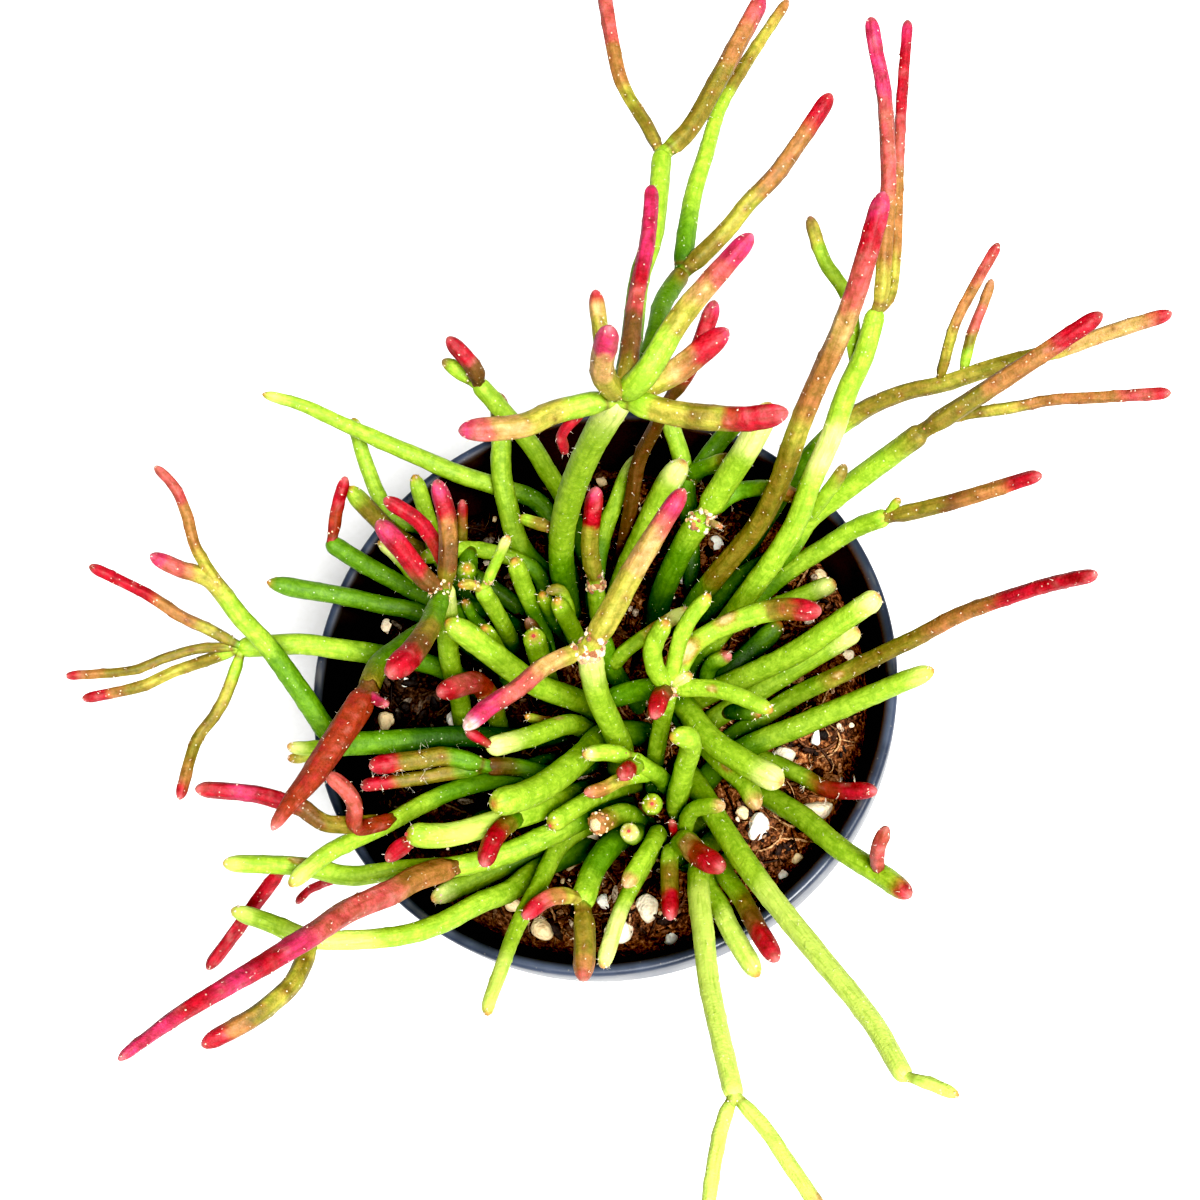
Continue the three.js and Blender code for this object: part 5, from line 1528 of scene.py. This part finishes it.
    def add_tufts(
        self, places: Array, normals: Array, widths: Array, tints: Array | None = None,
    ) -> None:
        """Adds low cushions, each a small dome sunk a little into what it grows on.

        Args:
            places: Middle of each, on the surface.
            normals: Outward direction of each.
            widths: Width of each.
            tints: Linear colour of each. Without it they are dry, corky scales of any of their colours.
        """
        if tints is None:
            tints = palette(self.crust)[self.rng.integers(len(self.crust), size=len(places))]
        half = widths[:, None, None] / 2
        rings = [places[:, None] + half * (reach * spokes(normals, 6) + height * normals[:, None])
                 for reach, height in self.tuft_rings]
        apexes = places + half[:, 0] * self.tuft_top * normals
        self.draft.add_cones(rings, apexes, tints, WOOL)

    def add_hairs(
        self, places: Array, normals: Array, counts: int | Array, longest: float, bend: float,
    ) -> None:
        """Adds bristles that stand off the skin and taper to a point.

        Args:
            places: Places that they root in.
            normals: Outward direction at each.
            counts: Number of bristles at each.
            longest: Length of the longest.
            bend: How far their middles bend aside, as a share of that length.
        """
        roots = np.repeat(places, counts, axis=0)
        lean = self.rng.normal(0, self.bristle_lean, roots.shape)
        lean = unit(np.repeat(normals, counts, axis=0) + lean)
        tips = roots + lean * (longest * self.rng.uniform(0.45, 1, (len(roots), 1)))
        bows = self.rng.normal(0, bend * longest, roots.shape)
        spread = spokes(unit(tips - roots), 3)
        width = self.bristle_width
        rings = [middle[:, None] + 0.5 * thick * spread
                 for middle, thick in ((roots, width), ((roots + tips) / 2 + bows, 0.7 * width))]
        self.draft.add_cones(rings, tips, np.ones(roots.shape), BRISTLE)

    def add_areoles(self, skin: Skin) -> None:
        """Adds the woolly points on a joint, each with a bristle or two.

        Args:
            skin: The joint's surface.
        """
        spots, line = skin.spots, skin.line
        places, normals = skin.at(spots, skin.angles)
        shares = spots / skin.along[-1]
        below = self.tint(line, shares, places)
        flushed = smoothstep(below[:, 0] - below[:, 1], -0.15, 0.15)
        widths = (self.areole_width + self.flushed_width * flushed) * self.rng.uniform(0.6, 1.4, len(spots))
        pale = self.rng.uniform(0.6, 1, (len(spots), 1))
        wool = palette((self.wool,)) * pale * (0.55 + 0.3 * flushed[:, None]) + 0.3 * below
        woolly = self.rng.random(len(spots)) > self.bare * (1 - 0.6 * flushed)
        self.add_tufts(places[woolly], normals[woolly], widths[woolly], np.clip(wool[woolly], 0, 1))
        bristly, longest = {Tip.HAIRY: (4, 1.7), Tip.FRIZZY: (4, 1.5)}.get(line.stem.tip, (0, 0.8))
        count = np.where(self.rng.random(len(spots)) < 0.3 + 0.5 * flushed, 1, 0)
        count = np.where((shares > 0.5) & (bristly > 0), bristly, count)
        self.add_hairs(places, normals, count, longest, 0.45 if line.stem.tip is Tip.FRIZZY else 0.08)

    def add_end(self, skin: Skin) -> None:
        """Dresses the free end of a joint by its kind.

        Args:
            skin: The joint's surface.
        """
        line, tip, rng = skin.line, skin.line.stem.tip, self.rng
        length, radius = skin.along[-1], line.radii[-1]
        count = {Tip.BLUNT: 3, Tip.POINT: 3, Tip.CUT: 0}.get(tip, 3 if line.flushed else 6)
        if count:
            back = length - tip.value[0] * radius * rng.uniform(0.08, 0.42, count)
            turn = (np.arange(count) + rng.uniform(0, 0.6, count)) * math.tau / count
            places, normals = skin.at(back, turn)
            pale = palette((self.wool,)) * rng.uniform(0.6, 1, (count, 1))
            pale[:, 1:] *= rng.uniform(0.72, 1, (count, 1))
            widths = rng.uniform(0.28, 0.55, count) * min(1, radius / 1.4) * (0.6 if line.flushed else 1)
            self.add_tufts(places, normals, widths, pale)
            self.add_hairs(places, normals, 2, 0.9, 0.1)
        outward = skin.heading[[-1]]
        apex = skin.centres[[-1]] + outward * 0.25 * skin.reach[-1].mean()
        if tip is Tip.RED_DOT:
            self.add_tufts(apex, outward, np.array([0.4 * radius]), palette((self.growing_point,)))
        elif tip is Tip.CUT:
            self.add_tufts(apex - 0.3 * outward, outward, np.array([1.5 * radius]),
                           palette((self.heartwood,)))
            back = length - rng.uniform(0.1, 2.4, 40)
            self.add_tufts(*skin.at(back, rng.uniform(0, math.tau, 40)), rng.uniform(0.3, 0.7, 40))

    def add_crust(self, skin: Skin) -> None:
        """Adds the heap of dry scales and wool in a fork, where old growing points have dried.

        Args:
            skin: The surface of the joint that carries the fork.
        """
        largest = WOOLLY_FORKS.get(skin.line.key, 0.0)
        if largest < 1:
            return
        count = int(self.fork_scales * largest)
        back = skin.along[-1] - skin.line.radii[-1] * self.rng.uniform(0, 1.3, count)
        turn = self.rng.uniform(0, math.tau, count)
        self.add_tufts(*skin.at(back, turn), self.rng.uniform(0.5, 0.95, count) * largest ** 0.7)

    def add_collar(self, skin: Skin) -> None:
        """Adds the wool and dry scales round the foot of a joint that grew from another.

        Args:
            skin: The joint's surface.
        """
        line, rng = skin.line, self.rng
        woolly = WOOLLY_FORKS.get(line.parent.key, 0.0) if line.stem.share > 0.9 else 0.0
        count = self.collar_scales[bool(woolly)]
        middle = self.first_areole(line) - 0.6
        spots = np.clip(middle + rng.normal(0, 0.35, count), 0, 0.8 * skin.along[-1])
        places, normals = skin.at(spots, rng.uniform(0, math.tau, count))
        self.add_tufts(places, normals, rng.uniform(0.45, 1, count) * (min(woolly, 1.2) or 0.45))
        if woolly:
            self.add_hairs(places, normals, 1, 1.3, 0.15)


# ---- Pot and potting mix ----


@dataclass
class NurseryPot:
    """The moulded pot: a thin tapered wall, a band below the rounded rim, and drain holes in the base."""

    height: float = 85.0
    rim_diameter: float = 102.0
    base_diameter: float = 72.0
    base_round: float = 1.0
    wall: float = 1.2
    floor: float = 1.6
    lip_depth: float = 9.0
    lip_overhang: float = 1.0
    lip_taper: float = 0.3
    lip_round: float = 0.8
    crown_slope: float = 0.62
    gate_diameter: float = 3.0  # mark in the base where the plastic came in
    gate_depth: float = 0.3
    drain_holes: int = 6
    drain_diameter: float = 8.0
    drain_ring: float = 24.0
    segments: int = 144
    arc_steps: int = 5
    wall_steps: int = 10
    sharp: float = 35.0  # degrees

    def wall_radius(self, height: float | Array) -> float | Array:
        """Outer radius of the wall at a height."""
        low, high = self.base_diameter / 2, self.rim_diameter / 2 - self.lip_overhang
        return low + (high - low) * height / self.height

    def arc(
        self, centre: Pair, radius: float, start: float, end: float, squash: float = 1.0,
    ) -> list[Pair]:
        """Points of a rounding in the profile.

        Args:
            centre: Its centre, as distance from the axis and height.
            radius: Its radius.
            start: Angle of its first point in degrees, where 0 points outwards and 90 up.
            end: Angle of its last point.
            squash: Its height as a share of its width.

        Returns:
            The points.
        """
        angles = np.radians(np.linspace(start, end, self.arc_steps))
        reach, rise = radius * np.cos(angles), squash * radius * np.sin(angles)
        return list(zip(centre[0] + reach, centre[1] + rise))

    def profile(self) -> Array:
        """Half of the pot's section, from the middle of its base round to the middle of its floor.

        Returns:
            Distance from the axis and height of each point.
        """
        base, rim = self.base_diameter / 2, self.rim_diameter / 2
        foot = self.height - self.lip_depth
        inner_top = self.wall_radius(self.height) - self.wall
        inner_foot = self.wall_radius(self.floor) - self.wall
        edge = self.lip_round
        crown = rim - edge - inner_top  # of the rim's top, which slopes down to the inside
        heights = np.linspace(self.base_round, foot, self.wall_steps)
        inside = np.linspace(1, 0, self.wall_steps)
        return np.array([
            (0, self.gate_depth),
            (self.gate_diameter / 2 - 0.2, self.gate_depth),
            (self.gate_diameter / 2, 0),
            *[(radius, 0) for radius in np.linspace(4, base - self.base_round - 1, 5)],
            *self.arc((base - self.base_round, self.base_round), self.base_round, -90, -8),
            *[(self.wall_radius(height), height) for height in heights[1:]],
            *self.arc((rim - self.lip_taper - 0.3, foot + 0.3), 0.3, -90, 0),
            (rim - 0.1, self.height - self.lip_depth / 2),
            *self.arc((rim - edge, self.height - edge), edge, 0, 90),
            *self.arc((rim - edge, self.height - crown * self.crown_slope), crown, 90, 180,
                      self.crown_slope)[1:],
            *[(inner_foot + (inner_top - inner_foot) * share, self.floor + 0.6 + (self.height - 3) * share)
              for share in inside],
            (inner_foot - 0.6, self.floor),
            *[(radius, self.floor) for radius in (30, 20, 8)],
            (0, self.floor),
        ])

    def revolve(self) -> Piece:
        """Turns the profile round the pot's axis.

        Returns:
            The pot without its drain holes.
        """
        profile = self.profile()
        turns = circle(self.segments)
        reach, height = np.broadcast_arrays(*profile[1:-1].T[:, :, None], turns)[:2]
        rings = np.stack([reach * np.cos(turns), reach * np.sin(turns), height], -1).reshape(-1, 3)
        points = np.vstack([(0, 0, profile[0, 1]), rings, (0, 0, profile[-1, 1])])
        draft = MeshDraft()
        draft.add(points, tube_faces(len(profile) - 2, self.segments), np.ones(3))
        return draft.make("nursery_pot", [])

    def build(self) -> Piece:
        """Builds the pot.

        Returns:
            The pot.
        """
        pot = self.revolve()
        drills = MeshDraft()
        turns = circle(24)
        for number in range(self.drain_holes):
            angle = math.tau * (number + 0.5) / self.drain_holes
            middle = self.drain_ring * np.array([math.cos(angle), math.sin(angle)])
            ring = middle + self.drain_diameter / 2 * np.stack([np.cos(turns), np.sin(turns)], -1)
            ends = [np.column_stack([ring, np.full(len(turns), height)]) for height in (-2.0, 4.0)]
            points = np.vstack([(*middle, -2.0), *ends, (*middle, 4.0)])
            drills.add(points, tube_faces(2, len(turns)), np.ones(3))
        drill = drills.make("drain_drills", [], held=False)
        cut = pot.modifiers.new("drain_holes", "BOOLEAN")
        cut.operation = "DIFFERENCE"
        cut.solver = "EXACT"
        cut.object = drill
        bpy.context.view_layer.update()
        graph = bpy.context.evaluated_depsgraph_get()
        pierced = bpy.data.meshes.new_from_object(pot.evaluated_get(graph))
        pot.modifiers.clear()
        pot.data = pierced
        bpy.data.objects.remove(drill)
        pierced.set_sharp_from_angle(angle=math.radians(self.sharp))
        pierced.materials.append(MouldedPolypropylene().make())
        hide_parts("pot")
        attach(pot, BODY)
        return pot


def icosphere(levels: int) -> tuple[Array, Array]:
    """A ball of even triangles.

    Args:
        levels: How often each of its first twenty triangles is split in four.

    Returns:
        Its corners, at distance one from the middle, and its faces.
    """
    ball = bmesh.new()
    bmesh.ops.create_icosphere(ball, subdivisions=levels + 1, radius=1)
    corners = np.array([corner.co for corner in ball.verts])
    faces = np.array([[corner.index for corner in face.verts] for face in ball.faces])
    ball.free()
    return corners, faces


BROWNS = ("#1a0f0a", "#2e190f", "#4a2c1a", "#6e4528", "#966440")
CHIP_BROWNS = ("#a27450", "#c0946c", "#d6b290", "#845c40", "#e2ccb0")
WHITES = ("#ecdfc4", "#e2d2b4", "#dcc498", "#f0ece0")

# Perlite grains that stand out of the mix: place and width. The first eight are the CAD model's, of which
# the fifth stands a little further in.
PERLITE = (
    (-3, -24, 5.5), (-11.5, -41, 5), (7, -38.5, 4.5), (2.5, -42, 4.5), (36.2, -22.2, 5.6), (26, -25, 4),
    (31, -13, 4), (-27, -3, 4), (-1.5, -28.5, 3.2), (-6.5, -30.5, 2.8), (10.5, -43, 2.6), (-0.5, -37, 3),
    (-16.5, -37, 3.2), (23.5, -22.5, 2.4), (32.5, -30, 2.2), (30, -32.5, 2), (36.5, -10, 2.6),
    (38.5, 20.5, 3.2), (42.5, 5, 2.6), (14.5, 20.5, 3), (-1, 41, 2.4), (-44, 5, 2.6), (-41, 15.5, 3),
    (-40, -3.5, 3.2), (-36.5, 3.5, 2.4), (18, -38.5, 2.6), (12, -5.5, 2.6), (28, 8, 2.4), (20, 27, 3),
    (36, 12, 2.2), (-32, -12, 2.8), (-24, -30, 2.2),
)


@dataclass(frozen=True)
class Lumps:
    """One kind of angular lump in the mix."""

    colours: tuple[Hex, ...]
    stretch: float  # how much longer than thick they may be
    sizes: Pair = (0.0, 0.0)  # least and greatest width
    count: int = 0
    lift: float = 0.0  # of their middles off the mix
    levels: int = 1  # how fine their triangles are
    smooth: bool = False
    shade_dimmed: bool = True  # whether the mix's painted shade darkens them


@dataclass
class PottingMix:
    """The filling: a hummocky bed of coir and peat, shrunk from the wall, with litter and perlite on it."""

    floor_gap: float = 0.3
    wall_gap: float = 0.5
    swell: float = 0.7
    moat_width: float = 5.0
    moat_depth: float = 6.0
    rings: int = 84
    sectors: int = 250
    crumb_relief: float = 0.75  # height of the bed's own crumbs
    crumb_widths: Pair = (2.1, 1.0)  # coarse and fine
    hollow_width: float = 4.2  # of the hollows between its heaps
    crumbs: Lumps = Lumps(BROWNS, 1.8, (0.6, 1.7), 2200, 0.25, levels=0)
    clods: Lumps = Lumps(BROWNS, 2.2, (1.4, 3.2), 300, 0.4)
    chips: Lumps = Lumps(CHIP_BROWNS, 2.6, (0.7, 2.1), 330, 0.7)  # pale bits of husk
    grains: Lumps = Lumps(WHITES, 1.15, levels=3, smooth=True, shade_dimmed=False)
    grain_rise: float = 0.14  # of a grain's middle over the mix, as a share of its width
    grain_swell: float = 1.15  # makes up for its broken-off corners
    small_grains: Lumps = Lumps(WHITES, 1.3, (0.7, 2.0), 70, 0.3, shade_dimmed=False)
    fibres: int = 700
    fibre_lengths: Pair = (3.0, 10.0)
    fibre_widths: Pair = (0.18, 0.62)
    facets: int = 12  # broken faces of a lump
    edge: float = 9.0  # how sharp the edges between them are
    # Painted shade of the mix: its lit side, the least and the most of its colour that it keeps, and where
    # it lifts.
    lit_side: Pair = (0.85, -0.15)
    shadiest: float = 0.16
    brightest: float = 1.1
    shade_fade: Pair = (-24.0, 26.0)  # from where to where the painted shade lifts, towards the lit side
    shade_bends_and_patches: Pair = (9.0, 3.4)  # width of the bends of that border and of the patches
    moat_lift: float = 2.2  # how much paler the mix is painted in the moat
    clear_of_wall: float = 2.2
    pot: NurseryPot = field(default_factory=NurseryPot)
    rng: Random = np.random.default_rng([SEED, 1000])
    fibre_browns: tuple[Hex, ...] = ("#4e301e", "#7c5236", "#a27850", "#bf966c", "#2c1b11")

    def radius(self, height: float | Array) -> float | Array:
        """Outer radius of the mix at a height."""
        return self.pot.wall_radius(height) - self.pot.wall - self.wall_gap

    def surface(self, x: Array, y: Array) -> Array:
        """Height of the mix, as in the CAD model: crossing soft waves, which die out at the moat.

        Args:
            x: Places across.
            y: Places from front to back.

        Returns:
            The heights.
        """
        broad = np.sin(x / 3.2 + 0.9) * np.cos(y / 3.7 - 0.4)
        slanting = 0.6 * np.sin(y / 1.6 + x / 4.8)
        moat = 1 - smoothstep(self.radius(MIX_LEVEL) - np.hypot(x, y), 0, self.moat_width)
        return MIX_LEVEL + self.swell * (broad + slanting) * (1 - moat) - self.moat_depth * moat

    def painted_light_share(self, places: Array) -> Array:
        """How much of its colour the mix keeps under its painted shade: light near the right front, darker
        away from it, patchy, and paler in the moat.

        Args:
            places: Places on the mix, one a row.

        Returns:
            A share for each place.
        """
        flat = places * (1, 1, 0)
        bends, patches = self.shade_bends_and_patches
        towards = places[:, :2] @ np.array(self.lit_side) + 6 * value_noise(flat, bends, 12)
        patchy = 1 + 0.3 * value_noise(flat, patches, 13)
        brim = self.radius(MIX_LEVEL)
        moat = smoothstep(np.hypot(*places.T[:2]), brim - self.moat_width, brim)
        patchy *= 1 + (self.moat_lift - 1) * moat
        return (self.shadiest + (self.brightest - self.shadiest) * smoothstep(towards, *self.shade_fade)) * patchy

    def build(self) -> list[Piece]:
        """Builds the bed, the litter and the perlite.

        Returns:
            The three pieces.
        """
        pieces = [self.bed(), self.litter(), self.perlite()]
        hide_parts("soil")
        for piece in pieces:
            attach(piece, BODY)
        return pieces

    def bed(self) -> Piece:
        """Builds the body of the mix with its crumbly top.

        Returns:
            The bed.
        """
        foot = self.pot.floor + self.floor_gap
        brim = self.radius(MIX_LEVEL - self.moat_depth)
        turns = circle(self.sectors)
        rim = np.stack([np.cos(turns), np.sin(turns)], -1)
        reach = brim * np.linspace(0, 1, self.rings + 1)[1:] ** 0.9
        top = np.vstack([(0, 0), (reach[:, None, None] * rim).reshape(-1, 2)])
        flat = np.column_stack([top, np.zeros(len(top))])
        coarse, fine = (np.abs(value_noise(flat, wide, 5 + i)) for i, wide in enumerate(self.crumb_widths))
        hollows = value_noise(flat, self.hollow_width, 7)
        rough = self.crumb_relief * (coarse + 0.6 * fine - 0.55 + 0.8 * hollows)
        rough *= smoothstep(brim - np.hypot(*top.T), 0, 0.8)
        points = np.column_stack([top, self.surface(*top.T) + rough])
        walls = [np.column_stack([self.radius(height) * rim, np.full(self.sectors, height)])
                 for height in np.linspace(MIX_LEVEL - self.moat_depth - 0.5, foot, 6)]
        points = np.vstack([points, *walls, (0, 0, foot)])
        draft = MeshDraft()
        faces = [part[:, ::-1] for part in tube_faces(self.rings + len(walls), self.sectors)]
        # Each corner's tint is the painted shade of the mix.
        draft.add(points, faces, self.painted_light_share(points)[:, None])
        return draft.make("coir_bed", [DampCoirBed().make()])

    def scatter(self, count: int) -> Array:
        """Picks places on the mix.

        Args:
            count: Number of places.

        Returns:
            The places, one a row.
        """
        brim = self.radius(MIX_LEVEL - self.moat_depth) - self.clear_of_wall
        reach = brim * np.sqrt(self.rng.random(count))
        turn = self.rng.uniform(0, math.tau, count)
        x, y = reach * np.cos(turn), reach * np.sin(turn)
        return np.stack([x, y, self.surface(x, y)], -1)

    def add_lumps(
        self, draft: MeshDraft, kind: Lumps, places: Array | None = None, sizes: Array | None = None,
    ) -> None:
        """Adds angular lumps that lie any way up.

        Args:
            draft: Mesh that gets them.
            kind: Their kind.
            places: Middle of each. Without it they are scattered on the mix.
            sizes: Width of each, where they have places.
        """
        rng = self.rng
        if places is None:
            places = self.scatter(kind.count) + (0, 0, kind.lift)
            sizes = rng.uniform(*kind.sizes, kind.count)
        ball, faces = icosphere(kind.levels)
        tints = palette(kind.colours)
        # The mix's painted shade darkens the lumps that take it.
        kept = self.painted_light_share(places) if kind.shade_dimmed else np.ones(len(places))
        for place, size, share in zip(places, sizes, kept):
            shape = np.array([1, rng.uniform(0.7, 0.95), rng.uniform(0.55, 0.85)])
            shape[0] *= rng.uniform(1, kind.stretch)
            broken = unit(rng.normal(size=(self.facets, 3))) / rng.uniform(0.6, 1, (self.facets, 1))
            reach = (np.maximum(ball @ broken.T, 0) ** self.edge).sum(axis=1) + 0.6
            pits = value_noise(ball * 10 + 40 * rng.random(3), 4.0, 8)
            reach = reach ** (-1 / self.edge) * (1 + 0.07 * pits)
            turned, _ = np.linalg.qr(rng.normal(size=(3, 3)))
            turned *= np.sign(np.linalg.det(turned))
            lump = (ball * reach[:, None] * shape * size / 2) @ turned
            tint = tints[rng.integers(len(tints))] * rng.uniform(0.75, 1.15) * share
            draft.add(lump + place, [faces], np.clip(tint, 0, 1), smooth=kind.smooth)

    def litter(self) -> Piece:
        """Builds the crumbs, clods and fibres that lie on the bed.

        Returns:
            The litter.
        """
        draft = MeshDraft()
        for kind in (self.crumbs, self.clods, self.chips):
            self.add_lumps(draft, kind)
        tints = palette(self.fibre_browns)
        roots = self.scatter(self.fibres)
        # The fibres take the mix's painted shade.
        for root, share in zip(roots, self.painted_light_share(roots)):
            self.add_fibre(draft, root, tints[self.rng.integers(len(tints))] * share)
        return draft.make("coir_litter", [CoirLitter().make()])

    def add_fibre(self, draft: MeshDraft, root: Array, tint: Array) -> None:
        """Adds one coir fibre: a bent thread that follows the bed and may lift off it.

        Args:
            draft: Mesh that gets it.
            root: Its middle.
            tint: Its linear colour.
        """
        rng, steps, sides = self.rng, 6, 4
        length = rng.uniform(*self.fibre_lengths)
        along = np.linspace(-0.5, 0.5, steps)
        heading, bend = rng.uniform(0, math.tau), rng.normal(0, 0.9)
        turn = heading + bend * along
        x = root[0] + length * along * np.cos(turn)
        y = root[1] + length * along * np.sin(turn)
        limit = self.radius(MIX_LEVEL - self.moat_depth) - 0.8
        inwards = np.minimum(1, limit / np.maximum(np.hypot(x, y), 1e-6))
        x, y = x * inwards, y * inwards
        lift = 0.35 + rng.uniform(0, 1.1) * (1 - (2 * along) ** 2) * (rng.random() < 0.5)
        path = np.stack([x, y, self.surface(x, y) + lift], -1)
        width = rng.uniform(*self.fibre_widths) * np.array([0.5, 0.9, 1, 1, 0.8, 0.4])
        spread = spokes(unit(np.gradient(path, axis=0)), sides)
        rings = path[:, None] + width[:, None, None] / 2 * spread
        points = np.vstack([path[0], rings.reshape(-1, 3), path[-1]])
        draft.add(points, tube_faces(steps, sides), np.clip(tint * rng.uniform(0.8, 1.2), 0, 1))

    def perlite(self) -> Piece:
        """Builds the perlite: the large grains, and small ones scattered between.

        Returns:
            The grains.
        """
        draft = MeshDraft()
        x, y, sizes = np.array(PERLITE).T
        places = np.stack([x, y, self.surface(x, y) + self.grain_rise * sizes], -1)
        self.add_lumps(draft, self.grains, places, self.grain_swell * sizes)
        self.add_lumps(draft, self.small_grains)
        return draft.make("perlite_grains", [ExpandedPerlite().make()])


# ---- Studio ----


@dataclass
class Studio:
    """A white paper floor, soft light from all round, one large soft lamp, and the camera."""

    floor_size: float = 1400.0  # as far as the lamp lights it evenly
    world: Hex = "#ffffff"
    world_strength: float = 0.12  # of the light that it gives, while it looks white itself
    lamp_place: Place = (470.0, -600.0, 1600.0)
    lamp_size: float = 640.0
    lamp_power: float = 66.0  # watts
    aim: Place = (0.3, 14.2, 85.0)  # what the camera and the lamp look at
    eye: Place = (46.0, -96.0, 386.0)
    upward: Place = (0.0, 1.0, 0.0)  # direction that is up in the picture
    sensor: float = 36.0
    lens: float = 55.5
    contrast: str = "Medium High Contrast"
    black: float = 0.018  # light below this shows as black

    def build(self) -> None:
        """Builds the floor, the lights and the camera."""
        self.lay_floor()
        self.light()
        self.set_camera()
        view = bpy.context.scene.view_settings
        view.view_transform = "Standard"
        view.look = self.contrast
        view.use_curve_mapping = True
        view.curve_mapping.black_level = (self.black,) * 3
        view.curve_mapping.update()

    def lay_floor(self) -> None:
        """Lays the paper that the pot stands on."""
        half = self.floor_size / 2 * MM
        mesh = bpy.data.meshes.new("paper_floor")
        mesh.from_pydata([(-half, -half, 0), (half, -half, 0), (half, half, 0), (-half, half, 0)], [],
                         [(0, 1, 2, 3)])
        mesh.materials.append(StudioPaper().make())
        floor = bpy.data.objects.new("paper_floor", mesh)
        bpy.context.scene.collection.objects.link(floor)

    def light(self) -> None:
        """Sets the even surrounding light and the large soft lamp."""
        world = bpy.data.worlds.new("studio_tent")
        world.use_nodes = True
        tree = world.node_tree
        seen = add_node(tree, "LightPath", output="Is Camera Ray")
        strength = add_node(tree, "MapRange", seen, inputs={"To Min": self.world_strength})
        background = tree.nodes["Background"]
        background.inputs["Color"].default_value = linear(self.world)
        tree.links.new(strength, background.inputs["Strength"])
        bpy.context.scene.world = world
        data = bpy.data.lights.new("softbox", "AREA")
        data.shape = "DISK"
        data.size = self.lamp_size * MM
        data.energy = self.lamp_power
        lamp = bpy.data.objects.new("softbox", data)
        lamp.location = Vector(self.lamp_place) * MM
        towards = Vector(self.aim) - Vector(self.lamp_place)
        lamp.rotation_euler = towards.to_track_quat("-Z", "Y").to_euler()
        bpy.context.scene.collection.objects.link(lamp)

    def set_camera(self) -> None:
        """Sets the camera above the front of the pot."""
        data = bpy.data.cameras.new("camera")
        data.sensor_width = self.sensor
        data.lens = self.lens
        data.clip_start, data.clip_end = 0.01, 20.0
        camera = bpy.data.objects.new("camera", data)
        back = (Vector(self.eye) - Vector(self.aim)).normalized()
        right = Vector(self.upward).cross(back).normalized()
        above = back.cross(right)
        turned = Matrix((right, above, back)).transposed().to_4x4()
        camera.matrix_world = Matrix.Translation(Vector(self.eye) * MM) @ turned
        bpy.context.scene.collection.objects.link(camera)
        bpy.context.scene.camera = camera


def main() -> None:
    """Builds the pot, the mix, the shoots and the studio, and reports each piece."""
    logging.basicConfig(level=logging.INFO, format="%(name)s: %(message)s")
    Studio().build()
    pieces = [NurseryPot().build(), *PottingMix().build(), *CactusClump().build()]
    for piece in pieces:
        piece.data.calc_loop_triangles()
        LOG.info("%s: %d triangles", piece.name, len(piece.data.loop_triangles))
    LOG.info("%d pieces, %d triangles", len(pieces), sum(len(p.data.loop_triangles) for p in pieces))


if __name__ == "__main__":
    main()
